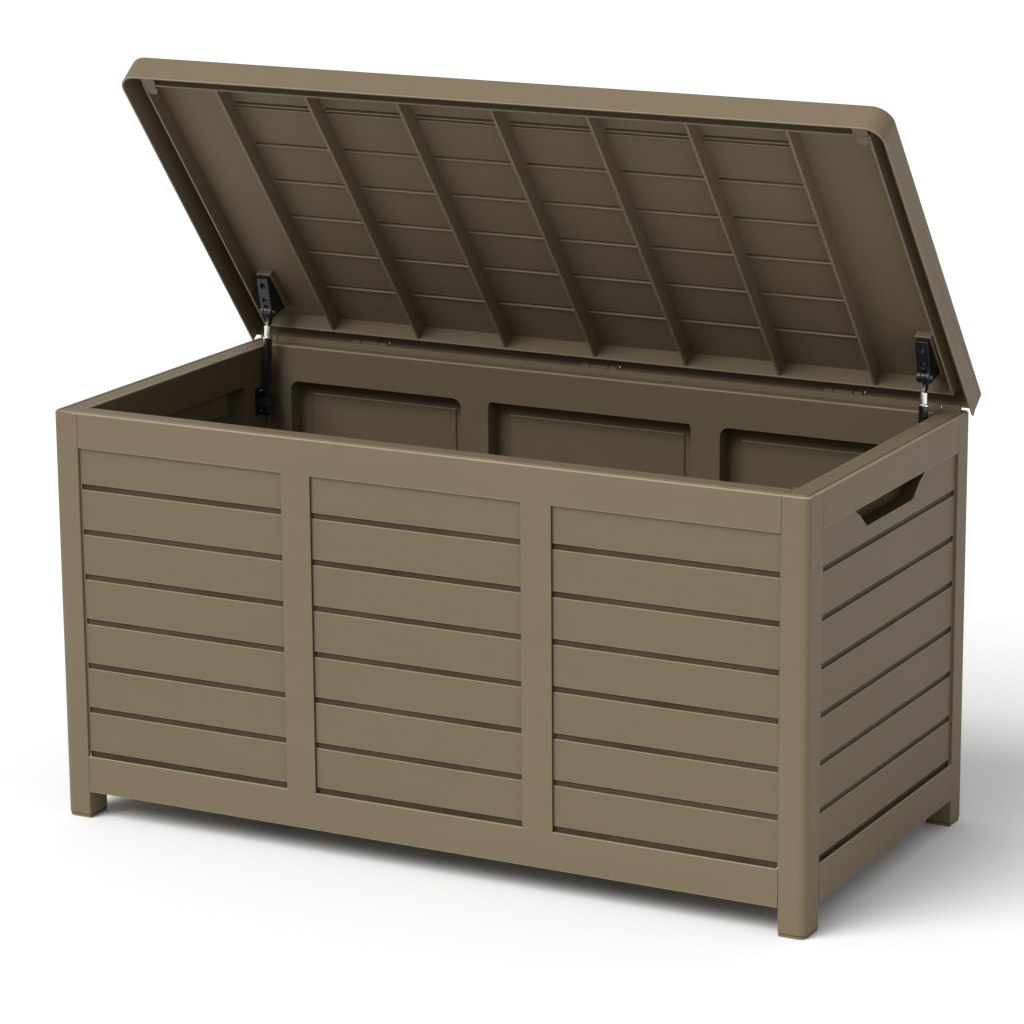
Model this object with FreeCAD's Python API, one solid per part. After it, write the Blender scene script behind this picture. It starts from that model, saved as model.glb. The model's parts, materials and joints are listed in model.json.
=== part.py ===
"""Storage bench: a slatted resin chest with a hinged lid held by two sliding stays.

Millimetres. X runs along the front, Y from front to back, Z up. The origin is on the
floor, under the middle of the body. The lid is modelled shut and then turned open about
its hinge axis, because the chest rests open.
"""
import FreeCAD, Part
import os
from math import atan2, cos, degrees, hypot, radians, sin

# ---------------------------------------------------------------- overall sizes
body_width = 1200.0
body_depth = 580.0
rim_height = 620.0
open_angle = 52.0

# ---------------------------------------------------------------- posts and feet
post_width = 41.0
post_depth = 46.0
post_round = 12.0
post_wall = 5.0
foot_plate = 4.0
foot_spigot = 22.0
foot_inset = 1.0
foot_height = 41.0

# ---------------------------------------------------------------- wall panels
panel_thickness = 38.0
panel_wall = 3.0
top_rail = 53.0
bottom_rail = 56.0
slat_count = 7
slat_recess = 4.0
slat_skin = 4.5
groove_height = 8.0
top_slat = 54.0
groove_depth = 2.5
mullion_width = 48.0
mullion_centre = 191.5
tongue_width = 12.0
tongue_length = 4.0
rim_round = 3.0
rim_line_width = 2.0
rim_line_depth = 2.0
rim_line_inset = 7.0
bay_drop = 56.0
bay_round = 14.0
bay_shift = 3.5
front_bay_reach = 522.0
side_bay_margin = 105.0
drain_length = 30.0
drain_width = 10.0

# ---------------------------------------------------------------- carrying handles
handle_top = 262.0
handle_bottom = 165.0
handle_height = 33.0
handle_depth = 24.0
handle_round = 9.0
handle_wall = 3.5
handle_bend = 0.4
handle_spread = (2.0, 1.6, 0.2)

# ---------------------------------------------------------------- floor
floor_level = 58.0
floor_plate = 4.0
floor_gap = 0.5
floor_rib_height = 8.0
floor_rib_width = 4.0
floor_rib_places = (0.5, 1.5)
ledge_reach = 12.0
ledge_height = 6.0
beam_width = 36.0
beam_height = 28.0
beam_wall = 3.0
beam_spacing = 280.0

# ---------------------------------------------------------------- lid
lid_side_gap = 8.0
lid_front_gap = 8.0
lid_back_gap = 6.0
lid_rise = 32.0
lid_drop = 12.0
lid_wall = 3.5
lid_skin = 4.0
lid_corner = 30.0
lid_back_corner = 4.0
lid_edge = 5.0
back_skirt_gap = 2.0
flange_inset = 28.0
flange_wall = 3.0
flange_gap = 0.5
rib_spacing = 152.0
rib_pairs = 3
rib_width = 4.0
rib_gap = 2.0
slat_line_count = 6
slat_line_first = 62.0
slat_line_double = 7.0
slat_line_fine = 2.4
slat_line_pitch = 79.2
slat_line_width = 5.0
slat_line_depth = 1.2
buffer_width = 22.0
buffer_offset = 2.0
buffer_thickness = 3.0
buffer_tongue = 17.0

# ---------------------------------------------------------------- hinges
hinge_back = 4.0
hinge_rise = 6.5
hinge_spacing = 400.0
knuckle_radius = 5.5
knuckle_half = 15.0
lug_length = 15.0
lug_gap = 1.0
lug_clearance = 1.0
lug_foot_depth = 8.0
rain_lip_height = 8.5
rain_lip_width = 4.0
rain_lip_inset = 10.0
pin_radius = 2.5
pin_clearance = 0.05
pin_overhang = 0.6

# ---------------------------------------------------------------- lid stays
stay_clear = 12.0
stay_pivot_back = 56.0
stay_pivot_rise = 56.0
guide_back = 66.0
guide_drop = 86.0
stay_bias = 0.95
bracket_width = 20.0
bracket_front = 124.0
bracket_rear = 50.0
bracket_toe = 8.0
pad_height = 10.0
pad_margin = 3.0
eye_radius = 9.0
eye_thickness = 6.0
eye_side_gap = 0.35
eye_clear = 3.0
stay_pin_radius = 3.0
stay_pin_clearance = 0.06
stay_pin_head = 1.5
neck_length = 22.0
neck_width = 11.0
neck_root = 10.0
neck_swing = 4.0
ferrule_radius = 5.5
ferrule_length = 20.0
tube_radius = 7.0
tube_wall = 2.0
tube_reach = 9.6
spigot_length = 10.0
tip_radius = 8.6
tip_length = 12.0
tip_round = 4.0
guide_height = 14.0
guide_wall = 3.0
guide_bore_round = 4.4
guide_side_gap = 0.3
guide_slack = 3.5
guide_plate = 2.5
guide_plate_height = 44.0
guide_plate_width = 30.0
guide_screw_pitch = 16.0

# ---------------------------------------------------------------- screws
screw_radius = 2.0
screw_head = 4.2
screw_head_height = 2.6
screw_play = 0.3
lid_screw_back = (113.0, 91.0)
lid_screw_seat = (12.0, 0.5)
lid_screw_bite = 11.0
wall_screw_bite = 14.0
wall_screw_head = 3.4

# ---------------------------------------------------------------- derived places
half_width = body_width / 2
half_depth = body_depth / 2
rail_top = foot_height + bottom_rail
rail_bottom = rim_height - top_rail
slat_pitch = (rail_bottom - rail_top - groove_height - top_slat) / (slat_count - 1)
groove_tops = [rail_top + groove_height + i * slat_pitch for i in range(slat_count)]
front_length = body_width - 2 * post_width
side_length = body_depth - 2 * post_depth
inner_x = half_width - panel_thickness
inner_y = half_depth - panel_thickness
hinge_y = half_depth + hinge_back
hinge_z = rim_height + hinge_rise
lid_x = half_width + lid_side_gap
lid_front = -half_depth - lid_front_gap
lid_back = half_depth + lid_back_gap
lid_top = rim_height + lid_rise
lid_rim = rim_height - lid_drop
lid_under = lid_top - lid_skin
flange_rim = rim_height + flange_gap
rib_places = [i * rib_spacing for i in range(-rib_pairs, rib_pairs + 1)]
line_places = [lid_front + flange_inset + slat_line_first + i * slat_line_pitch
               for i in range(slat_line_count)]
hinge_places = [i * hinge_spacing for i in (-1, 0, 1)]
stay_x = inner_x - stay_clear
pivot_open = (half_depth - stay_pivot_back, rim_height + stay_pivot_rise)
guide_point = (half_depth - guide_back, rim_height - guide_drop)

X = FreeCAD.Vector(1, 0, 0)
Y = FreeCAD.Vector(0, 1, 0)
Z = FreeCAD.Vector(0, 0, 1)
SIDES = (("left", -1), ("right", 1))
ENDS = (("front", -1), ("back", 1))


# ---------------------------------------------------------------- shape helpers
def vec(x, y, z):
    return FreeCAD.Vector(x, y, z)


def block(x0, x1, y0, y1, z0, z1):
    """A box between two corners, given in any order."""
    low = vec(min(x0, x1), min(y0, y1), min(z0, z1))
    return Part.makeBox(abs(x1 - x0), abs(y1 - y0), abs(z1 - z0), low)


def rod(radius, start, length, axis):
    return Part.makeCylinder(radius, length, start, axis)


def cross_rod(radius, x0, x1, y, z):
    """A cylinder along X."""
    return rod(radius, vec(min(x0, x1), y, z), abs(x1 - x0), X)


def prism(points, axis_length):
    """A closed outline of vectors, extruded."""
    wire = Part.makePolygon(points + [points[0]])
    return Part.Face(wire).extrude(axis_length)


def join(shapes):
    """One clean solid from shapes that touch or overlap."""
    whole = shapes[0].multiFuse(shapes[1:]) if len(shapes) > 1 else shapes[0]
    return whole.removeSplitter()


def carve(shape, tools):
    return shape.cut(tools)


def edges_along(shape, axis, test):
    """Straight edges parallel to an axis whose middle passes a test."""
    found = []
    for edge in shape.Edges:
        if len(edge.Vertexes) != 2:
            continue
        run = edge.Vertexes[1].Point - edge.Vertexes[0].Point
        if run.Length > 1e-6 and abs(abs(run.dot(axis)) - run.Length) < 1e-6:
            middle = (edge.Vertexes[0].Point + edge.Vertexes[1].Point) * 0.5
            if test(middle):
                found.append(edge)
    return found


def turned(shape, angle, y, z):
    """A copy turned about an axis along X through (y, z)."""
    copy = shape.copy()
    copy.rotate(vec(0, y, z), X, angle)
    return copy


def opened(shape):
    """A lid piece, from its shut place to its open place."""
    return turned(shape, -open_angle, hinge_y, hinge_z)


def save(name, shape):
    solids = shape.Solids
    body = solids[0] if len(solids) == 1 else Part.makeCompound(solids)
    body.exportStep("parts/" + name + ".step")


# ---------------------------------------------------------------- posts and feet
def post_outline(inset=0.0):
    """The post's section at the front right corner, as a box with its outer edge rounded."""
    x1, y0 = half_width - inset, -half_depth + inset
    x0, y1 = half_width - post_width + inset, -half_depth + post_depth - inset
    return x0, x1, y0, y1


def corner_post():
    """Front right post: a hollow square tube, shut at the top, slotted for two panels."""
    x0, x1, y0, y1 = post_outline()
    post = block(x0, x1, y0, y1, foot_plate, rim_height)
    outer = edges_along(post, Z, lambda p: p.x > x1 - 1 and p.y < y0 + 1)
    post = post.makeFillet(post_round, outer)
    bore = block(x0 + post_wall, x1 - post_wall, y0 + post_wall, y1 - post_wall,
                 0, rim_height - post_wall)
    front_y = -half_depth + panel_thickness / 2
    side_x = half_width - panel_thickness / 2
    half = tongue_width / 2
    tongue_top = rim_height - post_wall
    front_slot = block(x0 - 1, x0 + tongue_length, front_y - half, front_y + half,
                       foot_height, tongue_top)
    side_slot = block(side_x - half, side_x + half, y1 - tongue_length, y1 + 1,
                      foot_height, tongue_top)
    return carve(post, [bore, front_slot, side_slot])


def foot_plug():
    """The plug pressed into the foot of the front right post."""
    x0, x1, y0, y1 = post_outline(foot_inset)
    plate = block(x0, x1, y0, y1, 0, foot_plate)
    outer = edges_along(plate, Z, lambda p: p.x > x1 - 1 and p.y < y0 + 1)
    plate = plate.makeFillet(post_round - foot_inset, outer)
    x0, x1, y0, y1 = post_outline(post_wall)
    spigot = block(x0, x1, y0, y1, foot_plate, foot_plate + foot_spigot)
    hollow = block(x0 + panel_wall, x1 - panel_wall, y0 + panel_wall, y1 - panel_wall,
                   foot_plate, foot_plate + foot_spigot + 1)
    return join([plate, carve(spigot, [hollow])])


def at_corner(shape, side, end):
    """A copy of a front right piece at another corner."""
    copy = shape.copy()
    if side < 0:
        copy = copy.mirror(vec(0, 0, 0), X)
    if end > 0:
        copy = copy.mirror(vec(0, 0, 0), Y)
    return copy


# ---------------------------------------------------------------- wall panels
def panel_blank(length):
    """The slab with rounded rim edges; its outer face is y = 0 and its inner face behind it."""
    slab = block(-length / 2, length / 2, 0, panel_thickness, foot_height, rim_height)
    rim = edges_along(slab, X, lambda p: p.z > rim_height - 1)
    return slab.makeFillet(rim_round, rim)


def inner_bay(x0, x1):
    """The hollow behind one bay of slats, with its top corners rounded."""
    depth = slat_recess + slat_skin
    hollow = block(x0, x1, depth, panel_thickness + 1, rail_top, rim_height - bay_drop)
    top = edges_along(hollow, Y, lambda p: p.z > rim_height - bay_drop - 1)
    return hollow.makeFillet(bay_round, top)


def slat_bay(x0, x1):
    """The outer recess of one bay and the grooves between its slats."""
    cuts = [block(x0, x1, -1, slat_recess, rail_top, rail_bottom)]
    for top in groove_tops:
        cuts.append(block(x0, x1, -1, slat_recess + groove_depth, top - groove_height, top))
    return cuts


def panel_cavities(length, posts):
    """The moulded hollows inside the rails and uprights, joined and drained at the foot."""
    near, far = panel_wall, panel_thickness - panel_wall
    low, high = foot_height + panel_wall, rail_top - panel_wall
    cavity_base = rim_height - bay_drop + panel_wall
    end = length / 2 - panel_wall
    cuts = [block(-end, end, near, far, low, high),
            block(-end, end, near, far, cavity_base, rim_height - panel_wall)]
    for x0, x1 in posts:
        cuts.append(block(x0 + panel_wall, x1 - panel_wall, near, far, low, cavity_base + 1))
    middle = panel_thickness / 2
    for x in (-length / 4, length / 4):
        cuts.append(block(x - drain_length / 2, x + drain_length / 2,
                          middle - drain_width / 2, middle + drain_width / 2,
                          foot_height - 1, foot_height + panel_wall + 1))
    return cuts


def end_cavity(side, end, bay_end):
    """The hollow in the upright at one end of a panel, behind its slats."""
    return block(side * (bay_end + panel_wall), side * (end - panel_wall),
                 slat_recess + slat_skin, panel_thickness - panel_wall,
                 foot_height + panel_wall, rim_height - bay_drop + panel_wall + 1)


def tongues(length):
    """The strips at both ends that slide into the posts."""
    middle, half = panel_thickness / 2, tongue_width / 2
    top = rim_height - post_wall
    return [block(side * (length / 2 - 1), side * (length / 2 + tongue_length),
                  middle - half, middle + half, foot_height, top) for side in (-1, 1)]


def ledge(length, gaps):
    """The strip that the floor rests on, open where the beams meet the wall."""
    end = length / 2 - ledge_reach - 2
    strip = block(-end, end, panel_thickness - 1, panel_thickness + ledge_reach,
                  floor_level - ledge_height, floor_level)
    half = beam_width / 2 + floor_gap
    cuts = [block(x - half, x + half, panel_thickness, panel_thickness + ledge_reach + 1,
                  floor_level - ledge_height - 1, floor_level + 1) for x in gaps]
    return carve(strip, cuts) if cuts else strip


def rim_line(length):
    return block(-length / 2 - 1, length / 2 + 1, rim_line_inset, rim_line_inset + rim_line_width,
                 rim_height - rim_line_depth, rim_height + 1)


def long_panel():
    """Front and back wall: three bays of slats between two mullions."""
    half = mullion_width / 2
    inner, outer = mullion_centre - half, mullion_centre + half
    end = front_length / 2
    cuts = [rim_line(front_length)]
    for x0, x1 in ((-end, -outer), (-inner, inner), (outer, end)):
        cuts += slat_bay(x0, x1)
    left = (-front_bay_reach, -outer - bay_shift)
    centre = (-inner - bay_shift, inner + bay_shift)
    right = (outer + bay_shift, front_bay_reach)
    cuts += [inner_bay(*span) for span in (left, centre, right)]
    uprights = [(-outer, -inner - bay_shift), (inner + bay_shift, outer)]
    cuts += panel_cavities(front_length, uprights)
    cuts += [end_cavity(side, end, front_bay_reach) for side in (-1, 1)]
    blank = join([panel_blank(front_length), *tongues(front_length)])
    shell = carve(blank, cuts)
    return join([shell, ledge(front_length, [-beam_spacing, 0, beam_spacing])])


def handle_outline(grow, y):
    """The pocket's outline: a wide straight top, flared wings and a narrower foot."""
    spread_top, spread_bend, drop_bend = (grow * share for share in handle_spread)
    top = rail_bottom + grow
    bottom = rail_bottom - handle_height - grow
    wide, narrow = handle_top / 2 + spread_top, handle_bottom / 2 + grow
    bend = (handle_top + handle_bottom) / 4 + spread_bend
    bend_z = top - handle_height * handle_bend - drop_bend
    return [vec(-wide, y, top), vec(wide, y, top), vec(bend, y, bend_z),
            vec(narrow, y, bottom), vec(-narrow, y, bottom), vec(-bend, y, bend_z)]


def handle_body(grow, y0, y1):
    shape = prism(handle_outline(grow, y0), vec(0, y1 - y0, 0))
    low = edges_along(shape, Y, lambda p: p.z < rail_bottom - handle_height + 1)
    return shape.makeFillet(handle_round + grow, low)


def short_panel():
    """Side wall: one bay of slats with a carrying pocket under the top rail."""
    end = side_length / 2
    reach = half_depth - side_bay_margin
    shell = carve(panel_blank(side_length), [inner_bay(-reach, reach)])
    depth = slat_recess + handle_depth
    cup = handle_body(handle_wall, slat_recess, depth + handle_wall)
    shell = join([shell, cup, *tongues(side_length)])
    cuts = [rim_line(side_length), *slat_bay(-end, end), handle_body(0, -1, depth)]
    cuts += panel_cavities(side_length, [])
    cuts += [end_cavity(side, end, reach) for side in (-1, 1)]
    return join([carve(shell, cuts), ledge(side_length, [])])


def placed_wall(shape, angle, distance):
    """A wall panel, turned about Z and moved out to its side of the body."""
    copy = shape.copy()
    copy.translate(vec(0, -distance, 0))
    copy.rotate(vec(0, 0, 0), Z, angle)
    return copy


# ---------------------------------------------------------------- floor
def floor_panel(side):
    """Half of the floor, with stiffening ribs below and notches for the posts."""
    x_in, x_out = side * floor_gap, side * (inner_x - floor_gap)
    y = inner_y - floor_gap
    plate = block(x_in, x_out, -y, y, floor_level, floor_level + floor_plate)
    ribs = []
    for i in floor_rib_places:
        x = side * (beam_spacing * i - floor_rib_width / 2)
        ribs.append(block(x, x + floor_rib_width, -y + ledge_reach * 2, y - ledge_reach * 2,
                          floor_level - floor_rib_height, floor_level))
    notches = []
    for end in (-1, 1):
        notches.append(block(side * (half_width - post_width - floor_gap), side * half_width,
                             end * (half_depth - post_depth - floor_gap), end * half_depth,
                             floor_level - 1, floor_level + floor_plate + 1))
    return carve(join([plate, *ribs]), notches)


def floor_beam(x):
    """A channel under the floor, from wall to wall."""
    half = beam_width / 2
    bar = block(x - half, x + half, -inner_y, inner_y, floor_level - beam_height, floor_level)
    hollow = block(x - half + beam_wall, x + half - beam_wall, -inner_y + beam_wall,
                   inner_y - beam_wall, floor_level - beam_height - 1, floor_level - beam_wall)
    return carve(bar, [hollow])


# ---------------------------------------------------------------- lid
def lid_outline(inset, z0, z1):
    """The lid's plan, shrunk by an inset, as an upright solid with rounded corners."""
    shape = block(-lid_x + inset, lid_x - inset, lid_front + inset, lid_back - inset, z0, z1)
    front = edges_along(shape, Z, lambda p: p.y < 0)
    shape = shape.makeFillet(max(lid_corner - inset, 1.0), front)
    if lid_back_corner > inset:
        back = edges_along(shape, Z, lambda p: p.y > half_depth - flange_inset * 2)
        shape = shape.makeFillet(lid_back_corner - inset, back)
    return shape


def lid_shell():
    """The top skin with its skirt, its top edges rounded."""
    outer = lid_outline(0, lid_rim, lid_top)
    rim = [edge for edge in outer.Edges if edge.BoundBox.ZMin > lid_top - 1e-6]
    outer = outer.makeFillet(lid_edge, rim)
    inner = lid_outline(lid_wall, lid_rim - 1, lid_under)
    back_cut = block(-lid_x + lid_wall, lid_x - lid_wall, lid_back - lid_wall - 1, lid_back + 1,
                     lid_rim - 1, rim_height + back_skirt_gap)
    return carve(outer, [inner, back_cut])


def lid_flange():
    """The ring under the lid's skin that lands on the rim of the body."""
    outer = lid_outline(flange_inset, flange_rim, lid_under)
    inner = lid_outline(flange_inset + flange_wall, flange_rim - 1, lid_under + 1)
    return carve(outer, [inner, *(buffer_room(side) for _, side in SIDES)])


def lid_ribs():
    """The ribs under the lid's skin, from the front of the flange to its back."""
    y0 = lid_front + flange_inset + flange_wall
    y1 = lid_back - flange_inset - flange_wall
    half = rib_width / 2
    return Part.makeCompound([
        block(x - half, x + half, y0, y1, flange_rim + rib_gap, lid_under)
        for x in rib_places])


def lid_lines():
    """The slat lines on the top and, between the ribs, on the underside."""
    reach = rib_places[-1]
    cuts = []
    for y in line_places:
        cuts.append(block(-reach, reach, y, y + slat_line_width,
                          lid_top - slat_line_depth, lid_top + 1))
    for side in (-1, 1):
        x = side * (reach + slat_line_width / 2)
        cuts.append(block(x - slat_line_width / 2, x + slat_line_width / 2,
                          line_places[0], line_places[-1] + slat_line_width,
                          lid_top - slat_line_depth, lid_top + 1))
    for x0, x1 in zip(rib_places, rib_places[1:]):
        for y in [line_places[0] - slat_line_double, *line_places]:
            wide = slat_line_width if y in line_places else slat_line_fine
            cuts.append(block(x0 + rib_width / 2, x1 - rib_width / 2, y, y + wide,
                              lid_under - 1, lid_under + slat_line_depth))
    return cuts


def stay_pad(side):
    """The thickening of the lid that a stay bracket is screwed to."""
    half = bracket_width / 2 + pad_margin
    return block(side * (stay_x - half), side * (stay_x + half),
                 half_depth - bracket_front - pad_margin, half_depth - bracket_rear + pad_margin,
                 lid_under - pad_height, lid_under + 1)


def lid_knuckle(x):
    """One lid knuckle and the web that hangs it from the lid."""
    barrel = cross_rod(knuckle_radius, x - knuckle_half, x + knuckle_half, hinge_y, hinge_z)
    web = block(x - knuckle_half, x + knuckle_half, hinge_y - knuckle_radius + 1, lid_back,
                hinge_z, lid_under + 1)
    return [barrel, web]


def lug_room(x):
    """The space cut from the lid's back skirt round the two body lugs of a hinge."""
    near = knuckle_half + lug_gap / 2
    far = knuckle_half + lug_gap + lug_length + lug_clearance
    top = hinge_z + knuckle_radius + lug_clearance
    return [block(x + side * near, x + side * far, hinge_y - knuckle_radius - lug_clearance,
                  lid_back + 1, lid_rim - 1, top) for side in (-1, 1)]


def buffer_room(side):
    """The notch in the flange that a corner buffer clips into."""
    x1 = lid_x - flange_inset - buffer_offset
    return block(side * (x1 - buffer_width), side * x1, lid_front + flange_inset - 1,
                 lid_front + flange_inset + flange_wall + 1,
                 flange_rim - 1, flange_rim + buffer_thickness)


def lid():
    cuts = lid_lines()
    for x in hinge_places:
        cuts += lug_room(x)
    shell = carve(join([lid_shell(), stay_pad(-1), stay_pad(1)]), cuts)
    knuckles = [piece for x in hinge_places for piece in lid_knuckle(x)]
    shell = join([shell, *knuckles])
    bores = [cross_rod(pin_radius + pin_clearance, x - knuckle_half - 1, x + knuckle_half + 1,
                       hinge_y, hinge_z) for x in hinge_places]
    for _, side in SIDES:
        for back, seat in zip(lid_screw_back, lid_screw_seat):
            bores.append(rod(screw_radius, vec(side * stay_x, half_depth - back,
                                               lid_under - pad_height - 1),
                             lid_screw_bite + 1, Z))
    return carve(shell, bores)


def lid_buffer(side):
    """A corner buffer: a bridge from skirt to flange with a rounded tongue inside."""
    x1 = lid_x - flange_inset - buffer_offset
    x0 = x1 - buffer_width
    y0 = lid_front + lid_wall
    y1 = lid_front + flange_inset + flange_wall
    z0, z1 = flange_rim, flange_rim + buffer_thickness
    bridge = block(side * x0, side * x1, y0, y1, z0, z1)
    radius = buffer_width / 2 - 2
    centre = side * (x0 + x1) / 2
    straight = buffer_tongue - radius
    tongue = block(centre - radius, centre + radius, y1 - 1, y1 + straight, z0, z1)
    tip = rod(radius, vec(centre, y1 + straight, z0), buffer_thickness, Z)
    return join([bridge, tongue, tip])


# ---------------------------------------------------------------- hinges
def body_lugs(x):
    """The two lugs of one hinge that stand on the back wall's rim."""
    pieces = []
    for side in (-1, 1):
        x0 = x + side * (knuckle_half + lug_gap)
        x1 = x0 + side * lug_length
        pieces.append(cross_rod(knuckle_radius, x0, x1, hinge_y, hinge_z))
        pieces.append(block(x0, x1, hinge_y - knuckle_radius - 3, hinge_y,
                            rim_height - lug_foot_depth, hinge_z))
    return pieces


def rain_lip(x0, x1):
    """A run of the low upstand on the back rim that closes the gap under the open lid."""
    back = half_depth - rain_lip_inset
    return block(x0, x1, back - rain_lip_width, back,
                 rim_height - rain_lip_width, rim_height + rain_lip_height)


def post_rain_lip(side):
    """The upstand's end on a back post."""
    return rain_lip(side * (half_width - post_width), side * (half_width - rain_lip_inset))


def back_panel():
    """The back wall, in place, with the hinge lugs."""
    wall = placed_wall(long_panel(), 180, half_depth)
    lugs = [piece for x in hinge_places for piece in body_lugs(x)]
    bores = []
    for x in hinge_places:
        reach = knuckle_half + lug_gap + lug_length + 1
        bores.append(cross_rod(pin_radius, x - reach, x + reach, hinge_y, hinge_z))
    lip = rain_lip(-front_length / 2, front_length / 2)
    return carve(join([wall, lip, *lugs]), bores)


def hinge_pin(x):
    reach = knuckle_half + lug_gap + lug_length + pin_overhang
    return cross_rod(pin_radius, x - reach, x + reach, hinge_y, hinge_z)


# ---------------------------------------------------------------- lid stays
def pivot_shut():
    """Where the stay's upper pivot is when the lid is shut."""
    angle = radians(open_angle)
    dy, dz = pivot_open[0] - hinge_y, pivot_open[1] - hinge_z
    return (hinge_y + dy * cos(angle) - dz * sin(angle),
            hinge_z + dy * sin(angle) + dz * cos(angle))


def stay_span():
    """Distance from the upper pivot to the guide, with the lid open."""
    return hypot(pivot_open[0] - guide_point[0], pivot_open[1] - guide_point[1])


def stay_lean():
    """The open stay's lean from plumb, in degrees, balanced over the lid's travel."""
    dy, dz = guide_point[0] - pivot_open[0], guide_point[1] - pivot_open[1]
    return degrees(atan2(dy, -dz)) + stay_bias


def stay_bracket(side):
    """The wedge screwed under the lid, forked round the stay's eye. Modelled shut."""
    y, z = pivot_shut()
    base = lid_under - pad_height
    front, rear = half_depth - bracket_front, half_depth - bracket_rear
    half = bracket_width / 2
    x0, x1 = side * (stay_x - half), side * (stay_x + half)
    outline = [vec(x0, front, base), vec(x0, rear, base), vec(x0, y + eye_radius, z),
               vec(x0, y - eye_radius, z), vec(x0, front, base - bracket_toe)]
    wedge = prism(outline, vec(x1 - x0, 0, 0))
    lobe = cross_rod(eye_radius, x0, x1, y, z)
    body = join([wedge, lobe])
    slot = eye_thickness / 2 + eye_side_gap
    room = eye_radius + eye_clear
    fork = block(side * (stay_x - slot), side * (stay_x + slot), y, rear + 1,
                 z - room, z + room)
    cuts = [fork, cross_rod(room, side * (stay_x - slot), side * (stay_x + slot), y, z),
            cross_rod(stay_pin_radius, x0 - side, x1 + side, y, z)]
    for back, seat in zip(lid_screw_back, lid_screw_seat):
        place = vec(side * stay_x, half_depth - back, z - room)
        seat_z = rim_height + seat
        cuts.append(rod(screw_head + screw_play, place, seat_z - place.z, Z))
        cuts.append(rod(screw_radius + screw_play, place, base + 1 - place.z, Z))
    return carve(body, cuts)


def lid_screws(side):
    """The two screws of one bracket, modelled shut, driven up into the lid."""
    screws = []
    for back, seat in zip(lid_screw_back, lid_screw_seat):
        y, z = half_depth - back, rim_height + seat
        shank_top = lid_under - pad_height + lid_screw_bite
        shank = rod(screw_radius, vec(side * stay_x, y, z - 1), shank_top - z + 1, Z)
        head = rod(screw_head, vec(side * stay_x, y, z - screw_head_height), screw_head_height, Z)
        screws.append(join([head, shank]))
    return Part.makeCompound(screws)


def stay_pin(side):
    """The pin through the bracket and the stay's eye. Modelled shut."""
    y, z = pivot_shut()
    reach = bracket_width / 2 + stay_pin_head
    return cross_rod(stay_pin_radius, side * (stay_x - reach), side * (stay_x + reach), y, z)


def along_stay(shape, side):
    """A piece drawn hanging from the origin, moved to the open upper pivot and leaned."""
    copy = shape.copy()
    copy.rotate(vec(0, 0, 0), X, stay_lean())
    copy.translate(vec(side * stay_x, *pivot_open))
    return copy


def stay_eye():
    """The flat eye and its curved neck, hanging from the pivot at the origin."""
    half = eye_thickness / 2
    eye = cross_rod(eye_radius, -half, half, 0, 0)
    edge, root = neck_width / 2, neck_root / 2
    middle = neck_length / 2
    back = Part.BSplineCurve()
    back.interpolate([vec(-half, root, 0), vec(-half, edge + neck_swing, -middle),
                      vec(-half, edge, -neck_length)])
    front = Part.BSplineCurve()
    front.interpolate([vec(-half, -edge, -neck_length), vec(-half, -edge + neck_swing, -middle),
                       vec(-half, -root, 0)])
    foot = Part.LineSegment(vec(-half, edge, -neck_length), vec(-half, -edge, -neck_length))
    head = Part.LineSegment(vec(-half, -root, 0), vec(-half, root, 0))
    wire = Part.Wire([back.toShape(), foot.toShape(), front.toShape(), head.toShape()])
    neck = Part.Face(wire).extrude(vec(eye_thickness, 0, 0))
    bore = cross_rod(stay_pin_radius + stay_pin_clearance, -half - 1, half + 1, 0, 0)
    return carve(join([eye, neck]), [bore])


def stay_ferrule():
    """The bright sleeve between neck and tube, with a spigot inside the tube."""
    top = -neck_length
    sleeve = rod(ferrule_radius, vec(0, 0, top), ferrule_length, -Z)
    spigot = rod(tube_radius - tube_wall, vec(0, 0, top - ferrule_length), spigot_length, -Z)
    return join([sleeve, spigot])


def stay_tube():
    """The black tube that slides through the guide."""
    top = -neck_length - ferrule_length
    length = stay_span() + tube_reach + top
    tube = rod(tube_radius, vec(0, 0, top), length, -Z)
    return carve(tube, [rod(tube_radius - tube_wall, vec(0, 0, top + 1), length + 2, -Z)])


def stay_tip():
    """The end stop of the tube, too wide to pass the guide."""
    top = -stay_span() - tube_reach
    cap = rod(tip_radius, vec(0, 0, top), tip_length, -Z)
    low = [edge for edge in cap.Edges if edge.BoundBox.ZMax < top - tip_length + 1e-6]
    cap = cap.makeFillet(tip_round, low)
    spigot = rod(tube_radius - tube_wall, vec(0, 0, top), spigot_length, Z)
    return join([cap, spigot])


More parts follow.
